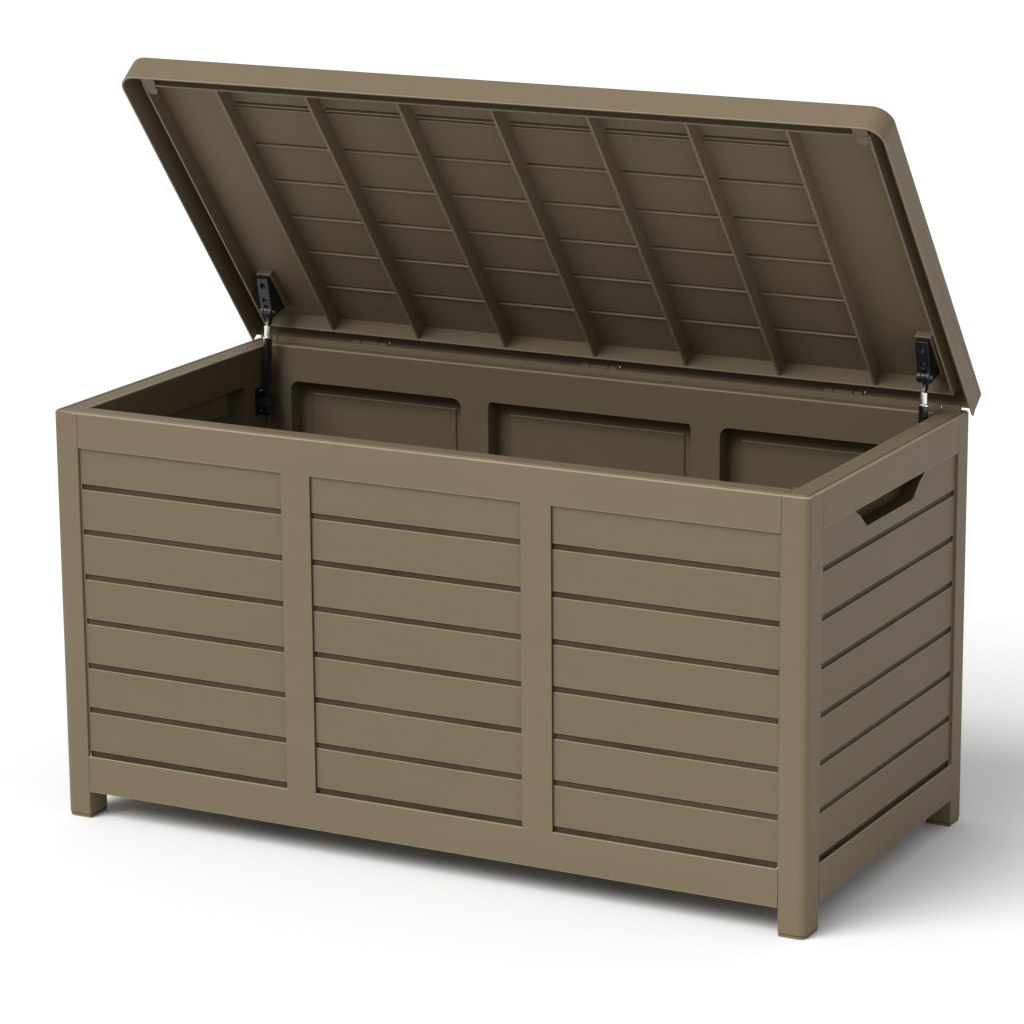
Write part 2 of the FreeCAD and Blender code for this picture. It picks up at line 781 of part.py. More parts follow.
def stay_guide(side):
    """The keeper loop on the side wall that the tube slides through."""
    y, z = guide_point
    wall = inner_x
    face = wall - guide_plate
    plate = block(side * face, side * wall, y - guide_plate_width / 2, y + guide_plate_width / 2,
                  z - guide_plate_height / 2, z + guide_plate_height / 2)
    corners = edges_along(plate, X, lambda p: True)
    plate = plate.makeFillet(guide_plate, corners)
    half_x = tube_radius + guide_side_gap
    half_y = tube_radius + guide_slack
    loop = block(side * (stay_x - half_x - guide_wall), side * (face + 1),
                 y - half_y - guide_wall, y + half_y + guide_wall,
                 z - guide_height / 2, z + guide_height / 2)
    inner = edges_along(loop, Z, lambda p: abs(p.x) < stay_x)
    loop = loop.makeFillet(guide_wall + 1, inner)
    bore = block(side * (stay_x - half_x), side * (stay_x + half_x), y - half_y, y + half_y,
                 z - guide_height, z + guide_height)
    bore = bore.makeFillet(guide_bore_round, edges_along(bore, Z, lambda p: True))
    cuts = [bore]
    for end in (-1, 1):
        place = vec(side * (face - 1), y, z + end * guide_screw_pitch)
        cuts.append(rod(screw_radius, place, guide_plate + 2, X * side))
        sink = Part.makeCone(wall_screw_head, screw_radius, guide_plate - 0.5,
                             vec(side * face, y, z + end * guide_screw_pitch), X * side)
        cuts.append(sink)
    return carve(join([plate, loop]), cuts)


def guide_screws(side):
    """The two countersunk screws of one guide."""
    y, z = guide_point
    face = inner_x - guide_plate
    screws = []
    for end in (-1, 1):
        place = vec(side * face, y, z + end * guide_screw_pitch)
        head = Part.makeCone(wall_screw_head, screw_radius, guide_plate - 0.5, place, X * side)
        shank = rod(screw_radius, vec(side * (face + 0.5), y, place.z), wall_screw_bite, X * side)
        screws.append(join([head, shank]))
    return Part.makeCompound(screws)


def guide_boss_bores(side):
    """The pilot holes for a guide's screws in the side wall."""
    y, z = guide_point
    face = inner_x - guide_plate
    return [rod(screw_radius, vec(side * face, y, z + end * guide_screw_pitch),
                wall_screw_bite + 0.5, X * side) for end in (-1, 1)]


# ---------------------------------------------------------------- assembly
def main():
    os.makedirs("parts", exist_ok=True)
    post, plug = corner_post(), foot_plug()
    for end_name, end in ENDS:
        for side_name, side in SIDES:
            placed = at_corner(post, side, end)
            if end_name == "back":
                placed = join([placed, post_rain_lip(side)])
            save("corner_post_" + end_name + "_" + side_name, placed)
            save("foot_plug_" + end_name + "_" + side_name, at_corner(plug, side, end))
    save("front_panel", placed_wall(long_panel(), 0, half_depth))
    save("back_panel", back_panel())
    wall = short_panel()
    for name, side, angle in (("left", -1, -90), ("right", 1, 90)):
        panel = placed_wall(wall, angle, half_width)
        save(name + "_side_panel", carve(panel, guide_boss_bores(side)))
        save("floor_panel_" + name, floor_panel(side))
    for name, x in (("left", -beam_spacing), ("centre", 0), ("right", beam_spacing)):
        save("floor_beam_" + name, floor_beam(x))
    for name, x in zip(("left", "centre", "right"), hinge_places):
        save("hinge_pin_" + name, hinge_pin(x))
    for name, shape in (("lid", lid()), ("lid_flange", lid_flange()), ("lid_ribs", lid_ribs())):
        save(name, opened(shape))
    for name, side in SIDES:
        save("lid_buffer_" + name, opened(lid_buffer(side)))
        save("stay_bracket_" + name, opened(stay_bracket(side)))
        save("stay_bracket_screws_" + name, opened(lid_screws(side)))
        save("stay_pin_" + name, opened(stay_pin(side)))
        save("stay_eye_" + name, along_stay(stay_eye(), side))
        save("stay_ferrule_" + name, along_stay(stay_ferrule(), side))
        save("stay_tube_" + name, along_stay(stay_tube(), side))
        save("stay_tip_" + name, along_stay(stay_tip(), side))
        save("stay_guide_" + name, stay_guide(side))
        save("stay_guide_screws_" + name, guide_screws(side))


main()
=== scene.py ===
"""The looks of a slatted resin storage bench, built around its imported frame.

Metres, in the frame's own axes: X along the front, Y from front to back, Z up.
"""
import json
import math

import bmesh
import bpy
from mathutils import Matrix, Vector


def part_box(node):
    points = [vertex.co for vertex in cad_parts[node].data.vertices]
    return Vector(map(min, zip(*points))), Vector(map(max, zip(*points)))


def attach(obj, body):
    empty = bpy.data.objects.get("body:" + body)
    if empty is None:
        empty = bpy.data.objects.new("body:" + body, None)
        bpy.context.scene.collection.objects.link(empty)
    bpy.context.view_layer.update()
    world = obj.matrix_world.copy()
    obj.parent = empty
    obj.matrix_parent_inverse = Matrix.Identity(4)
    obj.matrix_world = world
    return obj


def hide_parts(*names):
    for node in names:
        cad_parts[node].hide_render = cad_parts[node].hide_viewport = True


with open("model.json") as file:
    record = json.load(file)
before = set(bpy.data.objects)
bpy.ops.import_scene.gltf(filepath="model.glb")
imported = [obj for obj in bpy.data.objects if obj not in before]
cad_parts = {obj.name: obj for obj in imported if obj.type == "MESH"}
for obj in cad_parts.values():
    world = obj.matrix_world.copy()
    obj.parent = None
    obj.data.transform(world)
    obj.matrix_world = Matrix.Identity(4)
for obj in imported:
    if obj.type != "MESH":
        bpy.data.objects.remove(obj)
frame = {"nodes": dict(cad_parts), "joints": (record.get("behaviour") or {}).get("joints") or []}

bl_info = {
    "name": "Storage Bench",
    "version": (1, 0, 0),
    "blender": (4, 5, 0),
    "location": "3D View > Sidebar > Bench",
    "description": "Builds a slatted resin storage bench round its packed frame",
    "category": "Object",
}

MM = 0.001
FLAT = 0.5 * MM         # how far from a plane a face may be and still be taken to lie in it
HAIR = 0.2 * MM         # sliver left between a cut and the wall beside it
CUT, MERGE = 1e-7, 1e-6     # how near to a cut, or to each other, vertices count as one
SIDES = (("left", -1), ("right", 1))
ENDS = (("front", -1), ("back", 1))
CORNERS = [(f"{end_name}_{side_name}", side, end) for end_name, end in ENDS
           for side_name, side in SIDES]
PLACES = ("left", "centre", "right")
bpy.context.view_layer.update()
POST_LOW, POST_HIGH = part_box("corner_post_front_right")
JOINTS = {joint["name"]: joint for joint in frame["joints"]}
HINGE = JOINTS["lid_hinge"]
HINGE_POINT = Vector(HINGE["pos_m"])
OPEN_ANGLE = math.radians(HINGE["range_deg"][1])
Y, Z = Vector((0, 1, 0)), Vector((0, 0, 1))


# ---------------------------------------------------------------- settings
def length(name, description, millimetres, low=0.0):
    return bpy.props.FloatProperty(
        name=name, description=description, default=millimetres * MM, min=low,
        subtype="DISTANCE", unit="LENGTH", precision=4)


def angle(name, description, degrees):
    return bpy.props.FloatProperty(
        name=name, description=description, default=math.radians(degrees),
        subtype="ANGLE", unit="ROTATION")


def colour(name, description, value):
    return bpy.props.FloatVectorProperty(
        name=name, description=description, default=value, size=3, min=0.0, max=1.0,
        subtype="COLOR")


def share(name, description, value):
    return bpy.props.FloatProperty(
        name=name, description=description, default=value, min=0.0, max=1.0,
        subtype="FACTOR")


class BenchWallSizes(bpy.types.PropertyGroup):
    thickness: length("Wall thickness", "Depth of a wall from outer to inner face", 38)
    top_rail: length("Top rail", "Height of the rail under the rim", 53)
    bottom_rail: length("Bottom rail", "Height of the rail above the feet", 56)
    slat_count: bpy.props.IntProperty(
        name="Slats", description="Slats in one bay", default=7, min=2, max=12)
    top_slat: length("Top slat", "Height of the slat under the top rail", 54)
    slat_recess: length("Slat recess", "How far the slats stand behind the rails", 4)
    groove_height: length("Groove height", "Gap between two slats", 8)
    slat_round: length("Slat rounding", "Radius of a slat's upper edge", 2.4)
    groove_depth: length("Groove depth", "How deep the gap between two slats is", 3)
    # Painted shade on the walls' inner faces.
    inner_shade: share("Inner shade", "Dust on the walls' inner faces", 0.3)
    # Painted shade on the recessed slats.
    slat_shade: share("Slat shade", "Dust on the slats, which stand back from the rails", 0.12)
    groove_stop: length("Groove stop", "Solid slat between a groove's end and a post", 3)
    mullion_width: length("Mullion width", "Width of the two uprights of a long wall", 48)
    mullion_centre: length("Mullion place", "Mullion from the middle of the wall", 191.5)
    seam: length("Seam", "Gap between a wall and a post", 0.5)
    rim_round: length("Rim rounding", "Radius of the rim's edges", 3)
    rim_line_inset: length("Rim line place", "Rim line from the outer face", 7)
    rim_line_width: length("Rim line width", "Width of the line moulded in the rim", 2)
    rim_line_depth: length("Rim line depth", "Depth of the line moulded in the rim", 2)
    lip_height: length("Upstand height", "Back wall's upstand above the rim", 8.5)
    lip_width: length("Upstand width", "Thickness of the back wall's upstand", 4)
    lip_inset: length("Upstand place", "Upstand from the body's back face", 10)
    bay_drop: length("Inner bay drop", "Inner hollow's top below the rim", 56)
    bay_skin: length("Bay skin", "Wall left behind an inner hollow", 8.5)
    bay_round: length("Bay corner", "Radius of an inner hollow's corners", 14)
    bay_shift: length("Bay shift", "Inner upright narrower than the mullion, each side", 3.5)
    bay_step: length("Bay step", "Border of the raised field in a hollow", 23)
    front_bay_reach: length("Long bay reach", "Outer end of a long wall's hollows", 522)
    side_bay_margin: length("Side bay margin", "Side hollow from the front or back face", 105)
    edge: length("Edge", "Radius of the mouldings' plain edges", 1.1)
    post_round: length("Post rounding", "Radius of a post's outer edge", 12)
    foot_round: length("Foot rounding", "Radius of a post's lower edges", 3)
    plug_edge: length("Plug edge", "Radius of a foot plug's lower edges", 1)
    plug_inset: length("Plug inset", "Spigot in from a foot plug's plate", 4)


class BenchPocketSizes(bpy.types.PropertyGroup):
    top: length("Pocket top", "Width of a hand pocket under the rail", 262)
    bottom: length("Pocket foot", "Width of a hand pocket's lower edge", 165)
    height: length("Pocket height", "Height of a hand pocket", 33)
    depth: length("Pocket depth", "How far a hand pocket goes in", 24)
    flare: share("Flare", "Height share at which the sides bend outwards", 0.4)
    corner: length("Pocket corner", "Radius of the pocket's lower corners", 9)
    wall: length("Pocket wall", "Wall of the cup behind a pocket", 3.5)


class BenchLidSizes(bpy.types.PropertyGroup):
    side_gap: length("Side gap", "Lid past the side walls", 8)
    skin: length("Lid skin", "Thickness of the lid's top", 4)
    wall: length("Skirt wall", "Thickness of the lid's skirt", 3)
    rise: length("Lid rise", "Lid's top above the rim when shut", 32)
    drop: length("Skirt drop", "Skirt's edge below the rim when shut", 12)
    front_gap: length("Front gap", "Lid past the front wall", 8)
    back_gap: length("Back gap", "Lid past the back wall", 6)
    back_skirt_gap: length("Back skirt gap", "Back skirt's edge above the rim", 2)
    corner: length("Lid corner", "Radius of the front corners in plan", 30)
    back_corner: length("Back corner", "Radius of the back corners in plan", 4)
    top_round: length("Top rounding", "Radius of the lid's top edge", 5)
    flange_inset: length("Flange inset", "Flange behind the skirt's outer face", 28)
    flange_wall: length("Flange wall", "Thickness of the flange", 3)
    flange_gap: length("Flange gap", "Flange's edge above the rim", 0.5)
    rib_spacing: length("Rib spacing", "Distance between two ribs", 152)
    rib_pairs: bpy.props.IntProperty(
        name="Rib pairs", description="Ribs each side of the middle one", default=3, min=1, max=5)
    rib_width: length("Rib width", "Thickness of a rib", 4)
    rib_gap: length("Rib gap", "Rib's edge short of the flange's edge", 2)
    board_gap: length("Board gap", "Lapped boards short of a rib", 2)
    line_count: bpy.props.IntProperty(
        name="Slat lines", description="Slat lines across the lid", default=6, min=1, max=9)
    line_first: length("First line", "First slat line behind the flange", 62)
    line_double: length("Second line", "Extra line in front of the first one", 7)
    line_pitch: length("Line pitch", "Distance between two slat lines", 79.2)
    line_width: length("Line width", "Width of a slat line on the top", 5)
    line_depth: length("Line depth", "Depth of a slat line", 1.2)
    lip_width: length("Lip width", "Width of the raised lip under a slat line", 3.2)
    lip_height: length("Lip height", "Height of the raised lip under a slat line", 2.4)
    line_edge: length("Line edge", "Radius of the edges along lines and lips", 0.4)
    edge: length("Edge", "Radius of the lid's plain edges", 0.8)


class BenchStaySizes(bpy.types.PropertyGroup):
    lean: angle("Lean", "The open stay's lean from plumb", -3.08)
    neck_length: length("Neck length", "From the pivot to the ferrule", 22)
    ferrule_radius: length("Ferrule radius", "Radius of the bright sleeve", 5.5)
    ferrule_length: length("Ferrule length", "Length of the bright sleeve", 20)
    tube_radius: length("Tube radius", "Radius of the stay's tube", 7)
    tube_end: length("Tube end", "From the pivot to the tube's end", 152)
    tip_radius: length("Tip radius", "Radius of the stop at the tube's end", 8.6)
    tip_length: length("Tip length", "Length of the stop", 12)
    bracket_width: length("Bracket width", "Width of the bracket along the lid", 20)
    bracket_front: length("Bracket front", "Bracket's front end from the body's back face", 124)
    bracket_rear: length("Bracket rear", "Bracket's rear end from the body's back face", 50)
    pad_margin: length("Pad margin", "Pad past the bracket on it, all round", 3)
    pad_level: length("Pad level", "Pad under the lid above the rim when shut", 18)
    screw_head: length("Screw head", "Radius of a screw head", 4.2)
    screw_height: length("Screw height", "Height of a screw head", 2.4)
    screw_cross: length("Screw cross", "Width of the cross in a screw head", 1.3)
    wall_screw_head: length("Keeper screw head", "Radius of a keeper's screw head", 3.4)
    wall_screw_height: length("Keeper screw height", "Height of a keeper's screw head", 1.4)
    wall_screw_cross: length("Keeper screw cross", "Width of the cross in its head", 1.1)
    front_screw: length("Front screw", "Front screw from the body's back face", 113)
    rear_screw: length("Rear screw", "Rear screw from the body's back face", 91)
    front_seat: length("Front seat", "Front screw's seat above the rim when shut", 12)
    rear_seat: length("Rear seat", "Rear screw's seat above the rim when shut", 0.5)

    def seats(self):
        return ((self.front_screw, self.front_seat), (self.rear_screw, self.rear_seat))


class BenchFloorSizes(bpy.types.PropertyGroup):
    planks: bpy.props.IntProperty(
        name="Planks", description="Plank shapes across the floor", default=6, min=1, max=12)
    line: length("Line width", "Width of the line between two planks", 4)
    line_depth: length("Line depth", "Depth of the line between two planks", 1.2)


class BenchView(bpy.types.PropertyGroup):
    azimuth: angle("Azimuth", "Camera's turn from straight ahead", 27.853)
    elevation: angle("Elevation", "Camera's height above level", 14.292)
    roll: angle("Roll", "Camera's turn about its own axis", -0.422)
    target_side: length("Aim sideways", "Point aimed at, across the view", 1.94)
    target_height: length("Aim height", "Point aimed at, above the floor", 467.69)
    distance: length("Distance", "From the camera to the point aimed at", 5715.56)
    lens: bpy.props.FloatProperty(
        name="Lens", description="Focal length", default=137.59, min=10.0, unit="CAMERA")
    world: bpy.props.FloatProperty(
        name="World", description="Strength of the light all round", default=0.60, min=0.0)
    key: bpy.props.FloatProperty(
        name="Key", description="Strength of the main light", default=2.95, min=0.0)
    key_softness: angle("Softness", "Width of the lights as seen from the bench", 40)
    key_azimuth: angle("Key azimuth", "Where the main light stands", -28)
    key_height: angle("Key height", "Main light above level", 46)
    fill: bpy.props.FloatProperty(
        name="Fill", description="Strength of the second light", default=0.02, min=0.0)
    fill_azimuth: angle("Fill azimuth", "Where the second light stands", 70)
    fill_height: angle("Fill height", "Second light above level", 35)
    floor_size: length("Floor size", "Width of the studio floor", 80000)


class BenchColours(bpy.types.PropertyGroup):
    resin: colour("Resin", "The moulded walls and posts", (0.160, 0.126, 0.079))
    lid: colour("Lid", "The moulded lid", (0.160, 0.126, 0.079))
    # Painted highlight: the lighter colour put on rounded edges that face up or down.
    painted_highlight: colour("Edges", "Where handling has polished the edges", (0.34, 0.285, 0.20))
    # Painted shade: the dark colour put in grooves, lines and recesses.
    painted_shade: colour("Grooves", "Dust held in the grooves", (0.022, 0.016, 0.007))
    inside: colour("Inside", "The floor panels and beams", (0.12, 0.092, 0.056))
    black: colour("Black", "The stays' plastic and enamel", (0.010, 0.010, 0.011))
    steel: colour("Steel", "Screws and pins", (0.60, 0.59, 0.57))
    bright: colour("Bright steel", "The ferrules", (0.92, 0.91, 0.89))
    rubber: colour("Rubber", "The lid's buffers", (0.150, 0.118, 0.074))
    floor: colour("Floor", "The studio floor", (0.87, 0.87, 0.87))


# ---------------------------------------------------------------- mesh helpers
def block(low, high):
    """A bmesh of a box between two corners."""
    bm = bmesh.new()
    bmesh.ops.create_cube(bm, size=1.0)
    low, high = Vector(low), Vector(high)
    bmesh.ops.scale(bm, vec=high - low, verts=bm.verts)
    bmesh.ops.translate(bm, vec=(low + high) / 2, verts=bm.verts)
    return bm


def turned(profile, segments=48):
    """A closed round solid about Z, from (radius, height) pairs that start and end on the axis."""
    bm = bmesh.new()
    verts = [bm.verts.new((r, 0, z)) for r, z in profile]
    edges = [bm.edges.new(pair) for pair in zip(verts, verts[1:])]
    bmesh.ops.spin(bm, geom=verts + edges, cent=(0, 0, 0), axis=Z, angle=math.tau,
                   steps=segments, use_merge=True)
    bmesh.ops.remove_doubles(bm, verts=bm.verts, dist=MERGE)
    bmesh.ops.recalc_face_normals(bm, faces=bm.faces)
    return bm


def slice_at(bm, axis, places, faces=None):
    """Cuts faces, or the whole mesh, with planes square to an axis."""
    normal = Vector((0, 0, 0))
    normal[axis] = 1
    chosen = None if faces is None else set(faces)
    for place in sorted(set(places)):
        parts = bm.faces[:] if chosen is None else [f for f in chosen if f.is_valid]
        geom = list({e for f in parts for e in f.edges} | {v for f in parts for v in f.verts})
        cut = bmesh.ops.bisect_plane(bm, geom=geom + parts, dist=CUT,
                                     plane_co=normal * place, plane_no=normal)
        if chosen is not None:
            chosen |= {g for g in cut["geom"] if isinstance(g, bmesh.types.BMFace)}
    return [] if chosen is None else [f for f in chosen if f.is_valid]


def centre(face):
    return face.calc_center_median()


def looking(bm, normal, test):
    """Faces that look along a direction and whose middle passes a test."""
    return [f for f in bm.faces if f.normal.dot(normal) > 0.99 and test(centre(f))]


def push(bm, faces, shift):
    """Moves a patch of faces along a vector, with walls round it, and returns the moved faces."""
    made = bmesh.ops.extrude_face_region(bm, geom=faces)["geom"]
    verts = [g for g in made if isinstance(g, bmesh.types.BMVert)]
    bmesh.ops.translate(bm, verts=verts, vec=shift)
    bmesh.ops.delete(bm, geom=[f for f in faces if f.is_valid], context="FACES")
    bm.normal_update()
    return [g for g in made if isinstance(g, bmesh.types.BMFace)]


def sharp_edges(bm, test=lambda middle: True, angle=0.6, hollow=False):
    """Edges that stand out and whose middle passes a test, with inner corners if asked."""
    return [e for e in bm.edges if len(e.link_faces) == 2 and e.calc_face_angle() > angle
            and (hollow or e.is_convex) and test((e.verts[0].co + e.verts[1].co) / 2)]


def along(bm, axis, test, angle=0.6):
    """Sharp edges that run along an axis and whose middle passes a test."""
    return [e for e in sharp_edges(bm, test, angle, hollow=True)
            if abs((e.verts[1].co - e.verts[0].co).normalized()[axis]) > 0.999]


def soften(bm, edges, radius, segments=2, painted_highlight=True):
    """Rounds edges; unless asked not to, those that look up or down are marked for a painted highlight
    in the finish.
    """
    mark = bm.loops.layers.float.get("edge") or bm.loops.layers.float.new("edge")
    if not edges:
        return
    made = bmesh.ops.bevel(bm, geom=edges, offset=radius, offset_type="OFFSET",
                           affect="EDGES", segments=segments, profile=0.5, material=-1,
                           clamp_overlap=False)
    bm.normal_update()
    # Bevel faces that look up or down get the painted highlight, when it is asked for.
    for face in made["faces"]:
        for loop in face.loops:
            loop[mark] = float(painted_highlight and abs(face.normal.z) > 0.2)


def paint_shade(bm, faces, amount=1.0):
    """Marks faces for painted shade in the finish, the darker the larger the amount."""
    mark = bm.loops.layers.float.get("groove") or bm.loops.layers.float.new("groove")
    for face in faces:
        for loop in face.loops:
            loop[mark] = amount


def corner_angle(face, vert):
    return next(loop for loop in face.loops if loop.vert == vert).calc_angle()


def can_join(first, second, mark):
    """Whether two faces lie in one plane, look alike and make one convex face."""
    if first == second or first.normal.dot(second.normal) < 0.99999:
        return False
    if first.loops[0][mark] != second.loops[0][mark]:
        return False
    shared = [e for e in first.edges if e in set(second.edges)]
    verts = [v for e in shared for v in e.verts]
    ends = [v for v in verts if verts.count(v) == 1]
    touching = set(first.verts) & set(second.verts)
    return len(touching) == len(shared) + 1 and all(
        corner_angle(first, v) + corner_angle(second, v) < math.pi + 0.001 for v in ends)


def tidy(bm):
    """Joins faces of one plane into larger convex ones, across level edges first."""
    bmesh.ops.remove_doubles(bm, verts=bm.verts, dist=MERGE)
    mark = bm.loops.layers.float.get("groove") or bm.loops.layers.float.new("groove")
    level_first = sorted(bm.edges, key=lambda e: abs((e.verts[1].co - e.verts[0].co).normalized().z))
    for edge in level_first:
        if edge.is_valid and len(edge.link_faces) == 2 and can_join(*edge.link_faces, mark):
            bmesh.utils.face_join(edge.link_faces)
    straight = [v for v in bm.verts if len(v.link_edges) == 2 and v.calc_edge_angle(0) < 0.001]
    bmesh.ops.dissolve_verts(bm, verts=straight)
    bm.normal_update()


def absorb(bm, other):
    """Adds another bmesh to this one."""
    mesh = bpy.data.meshes.new("part")
    other.to_mesh(mesh)
    other.free()
    bm.from_mesh(mesh)
    bpy.data.meshes.remove(mesh)


def piece(name, bm, body, material, nodes):
    """Makes a finished object from a bmesh, riding on a body in place of its CAD nodes."""
    mesh = bpy.data.meshes.new(name)
    bm.to_mesh(mesh)
    bm.free()
    for polygon in mesh.polygons:
        polygon.use_smooth = True
    mesh.set_sharp_from_angle(angle=math.radians(50))
    mesh.materials.append(material)
    made = bpy.data.objects.new(name, mesh)
    bpy.context.scene.collection.objects.link(made)
    weights = made.modifiers.new("Even shading", "WEIGHTED_NORMAL")
    weights.keep_sharp = True
    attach(made, body)
    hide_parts(*nodes)
    return made


def from_node(node):
    """A merged copy of a CAD node's mesh."""
    bm = bmesh.new()
    bm.from_mesh(frame["nodes"][node].data)
    bmesh.ops.remove_doubles(bm, verts=bm.verts, dist=MERGE)
    bmesh.ops.dissolve_limit(bm, angle_limit=math.radians(1), verts=bm.verts, edges=bm.edges)
    bm.normal_update()
    return bm


# ---------------------------------------------------------------- shader helpers
class Wire:
    """One shader socket that takes part in Python expressions."""

    def __init__(self, shader, socket):
        self.shader, self.socket = shader, socket

    def _math(self, operation, first, second):
        return self.shader.node("ShaderNodeMath", {"operation": operation},
                                {0: first, 1: second})

    def __add__(self, other):
        return self._math("ADD", self, other)

    def __radd__(self, other):
        return self._math("ADD", other, self)

    def __mul__(self, other):
        return self._math("MULTIPLY", self, other)

    def __rmul__(self, other):
        return self._math("MULTIPLY", other, self)


class Shader:
    """A material whose nodes are made one call at a time."""

    def __init__(self, name):
        self.material = bpy.data.materials.new(name)
        self.material.use_nodes = True
        self.tree = self.material.node_tree
        self.tree.nodes.clear()
        self.object = self.node("ShaderNodeTexCoord", {}, {}, "Object")

    def node(self, kind, settings, inputs, output=0):
        made = self.tree.nodes.new(kind)
        for key, value in settings.items():
            setattr(made, key, value)
        for key, value in inputs.items():
            if isinstance(value, Wire):
                self.tree.links.new(value.socket, made.inputs[key])
            else:
                made.inputs[key].default_value = value
        return Wire(self, made.outputs[output])

    def scaled(self, x, y, z):
        return self.node("ShaderNodeMapping", {}, {"Vector": self.object, "Scale": (x, y, z)})

    def noise(self, scale, detail=2.0, vector=None):
        return self.node("ShaderNodeTexNoise", {}, {
            "Vector": vector or self.object, "Scale": scale, "Detail": detail})

    def mix(self, factor, first, second):
        return self.node("ShaderNodeMix", {"data_type": "RGBA"},
                         {0: factor, 6: first, 7: second}, 2)

    def scale(self, tint, factor):
        """A colour made lighter or darker by a factor."""
        return self.node("ShaderNodeVectorMath", {"operation": "SCALE"},
                         {0: tint if isinstance(tint, Wire) else tint[:3], "Scale": factor})

    def attribute(self, name):
        return self.node("ShaderNodeAttribute", {"attribute_name": name}, {}, "Fac")

    def bump(self, height, strength, distance):
        return self.node("ShaderNodeBump", {}, {
            "Height": height, "Strength": strength, "Distance": distance})

    def finish(self, **sockets):
        surface = self.node("ShaderNodeBsdfPrincipled", {}, {
            key.replace("_", " "): value for key, value in sockets.items()})
        output = self.tree.nodes.new("ShaderNodeOutputMaterial")
        self.tree.links.new(surface.socket, output.inputs["Surface"])
        return self.material


def rgba(value):
    return (*value, 1.0)


# ---------------------------------------------------------------- finishes
def moulded_resin(name, base, colours):
    """Satin resin: fine grain, slow drift of colour, painted shade in the grooves and painted highlights
    on the edges.
    """
    s = Shader(name)
    drift = s.noise(2.3, 3.0)
    cloud = s.noise(14.0, 4.0)
    streak = s.noise(1.0, 3.0, s.scaled(1.5, 42.0, 42.0))
    # Painted highlight: lighter colour on the marked edges that face up or down.
    highlight_mask = s.attribute("edge") * (0.45 + 0.45 * s.noise(30.0, 3.0))
    # Painted shade on faces marked as grooves or recesses, which also makes them a little rougher.
    cavity_shade = s.attribute("groove") * (0.55 + 0.4 * s.noise(9.0, 3.0))
    plain = s.mix(cavity_shade, s.mix(highlight_mask, rgba(base), rgba(colours.painted_highlight)), rgba(colours.painted_shade))
    light = 0.90 + 0.10 * drift + 0.05 * cloud + 0.05 * streak
    grain = s.noise(1500.0, 2.0) + 0.6 * s.noise(420.0, 3.0)
    skin = s.bump(grain, 0.35, 0.00012)
    return s.finish(Base_Color=s.scale(plain, light), Roughness=0.40 + 0.12 * cloud + 0.10 * cavity_shade,
                    Specular_IOR_Level=0.08, Normal=skin)


def soft_rubber(name, base):
    s = Shader(name)
    cloud = s.noise(60.0, 4.0)
    return s.finish(Base_Color=s.scale(rgba(base), 0.8 + 0.35 * cloud), Roughness=0.62 + 0.2 * cloud,
                    Normal=s.bump(s.noise(2200.0, 2.0), 0.4, 0.0001))


def black_plastic(name, base):
    """Moulded black plastic with a faint grain and handling marks."""
    s = Shader(name)
    cloud = s.noise(90.0, 4.0)
    return s.finish(Base_Color=s.scale(rgba(base), 0.7 + 0.8 * cloud), Roughness=0.22 + 0.22 * cloud,
                    Normal=s.bump(s.noise(1800.0, 2.0), 0.25, 0.0001))


def black_enamel(name, base):
    """Glossy enamel rubbed dull along the way the tube slides."""
    s = Shader(name)
    rub = s.noise(1.0, 4.0, s.scaled(900.0, 900.0, 12.0))
    return s.finish(Base_Color=s.scale(rgba(base), 0.8 + 0.5 * rub), Roughness=0.10 + 0.14 * rub,
                    Coat_Weight=0.5, Normal=s.bump(rub, 0.08, 0.0001))


def drawn_steel(name, base, dull):
    """Plated steel with fine lines along its length."""
    s = Shader(name)
    lines = s.noise(1.0, 4.0, s.scaled(1400.0, 1400.0, 30.0))
    spots = s.noise(160.0, 3.0)
    return s.finish(Base_Color=s.scale(rgba(base), 0.82 + 0.2 * spots), Metallic=1.0,
                    Roughness=dull + 0.16 * lines + 0.06 * spots,
                    Normal=s.bump(lines, 0.12, 0.00005))


def finishes(colours):
    """Every finish of the bench, made once and shared."""
    makers = {
        "resin": (moulded_resin, colours.resin, colours),
        "lid_resin": (moulded_resin, colours.lid, colours),
        "inner_resin": (moulded_resin, colours.inside, colours),
        "black_plastic": (black_plastic, colours.black),
        "black_enamel": (black_enamel, colours.black),
        "bright_metal": (drawn_steel, colours.bright, 0.10),
        "screw_metal": (drawn_steel, colours.steel, 0.20),
        "steel": (drawn_steel, colours.steel, 0.30),
        "rubber": (soft_rubber, colours.rubber),
    }
    return {slot: bpy.data.materials.get(f"bench_{slot}") or make(f"bench_{slot}", *looks)
            for slot, (make, *looks) in makers.items()}


# ---------------------------------------------------------------- body measures
HALF_WIDTH, HALF_DEPTH, RIM = POST_HIGH.x, -POST_LOW.y, POST_HIGH.z
FOOT_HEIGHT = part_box("front_panel")[0].z
FRONT_RUN, SIDE_RUN = 2 * POST_LOW.x, -2 * POST_HIGH.y


def place_wall(bm, angle, distance):
    """Moves a wall out from the middle and turns it to its side of the body."""
    bmesh.ops.translate(bm, vec=(0, -distance, 0), verts=bm.verts)
    bmesh.ops.rotate(bm, cent=(0, 0, 0), matrix=Matrix.Rotation(angle, 3, "Z"), verts=bm.verts)
    return bm


def between(value, spans):
    return any(low < value < high for low, high in spans)


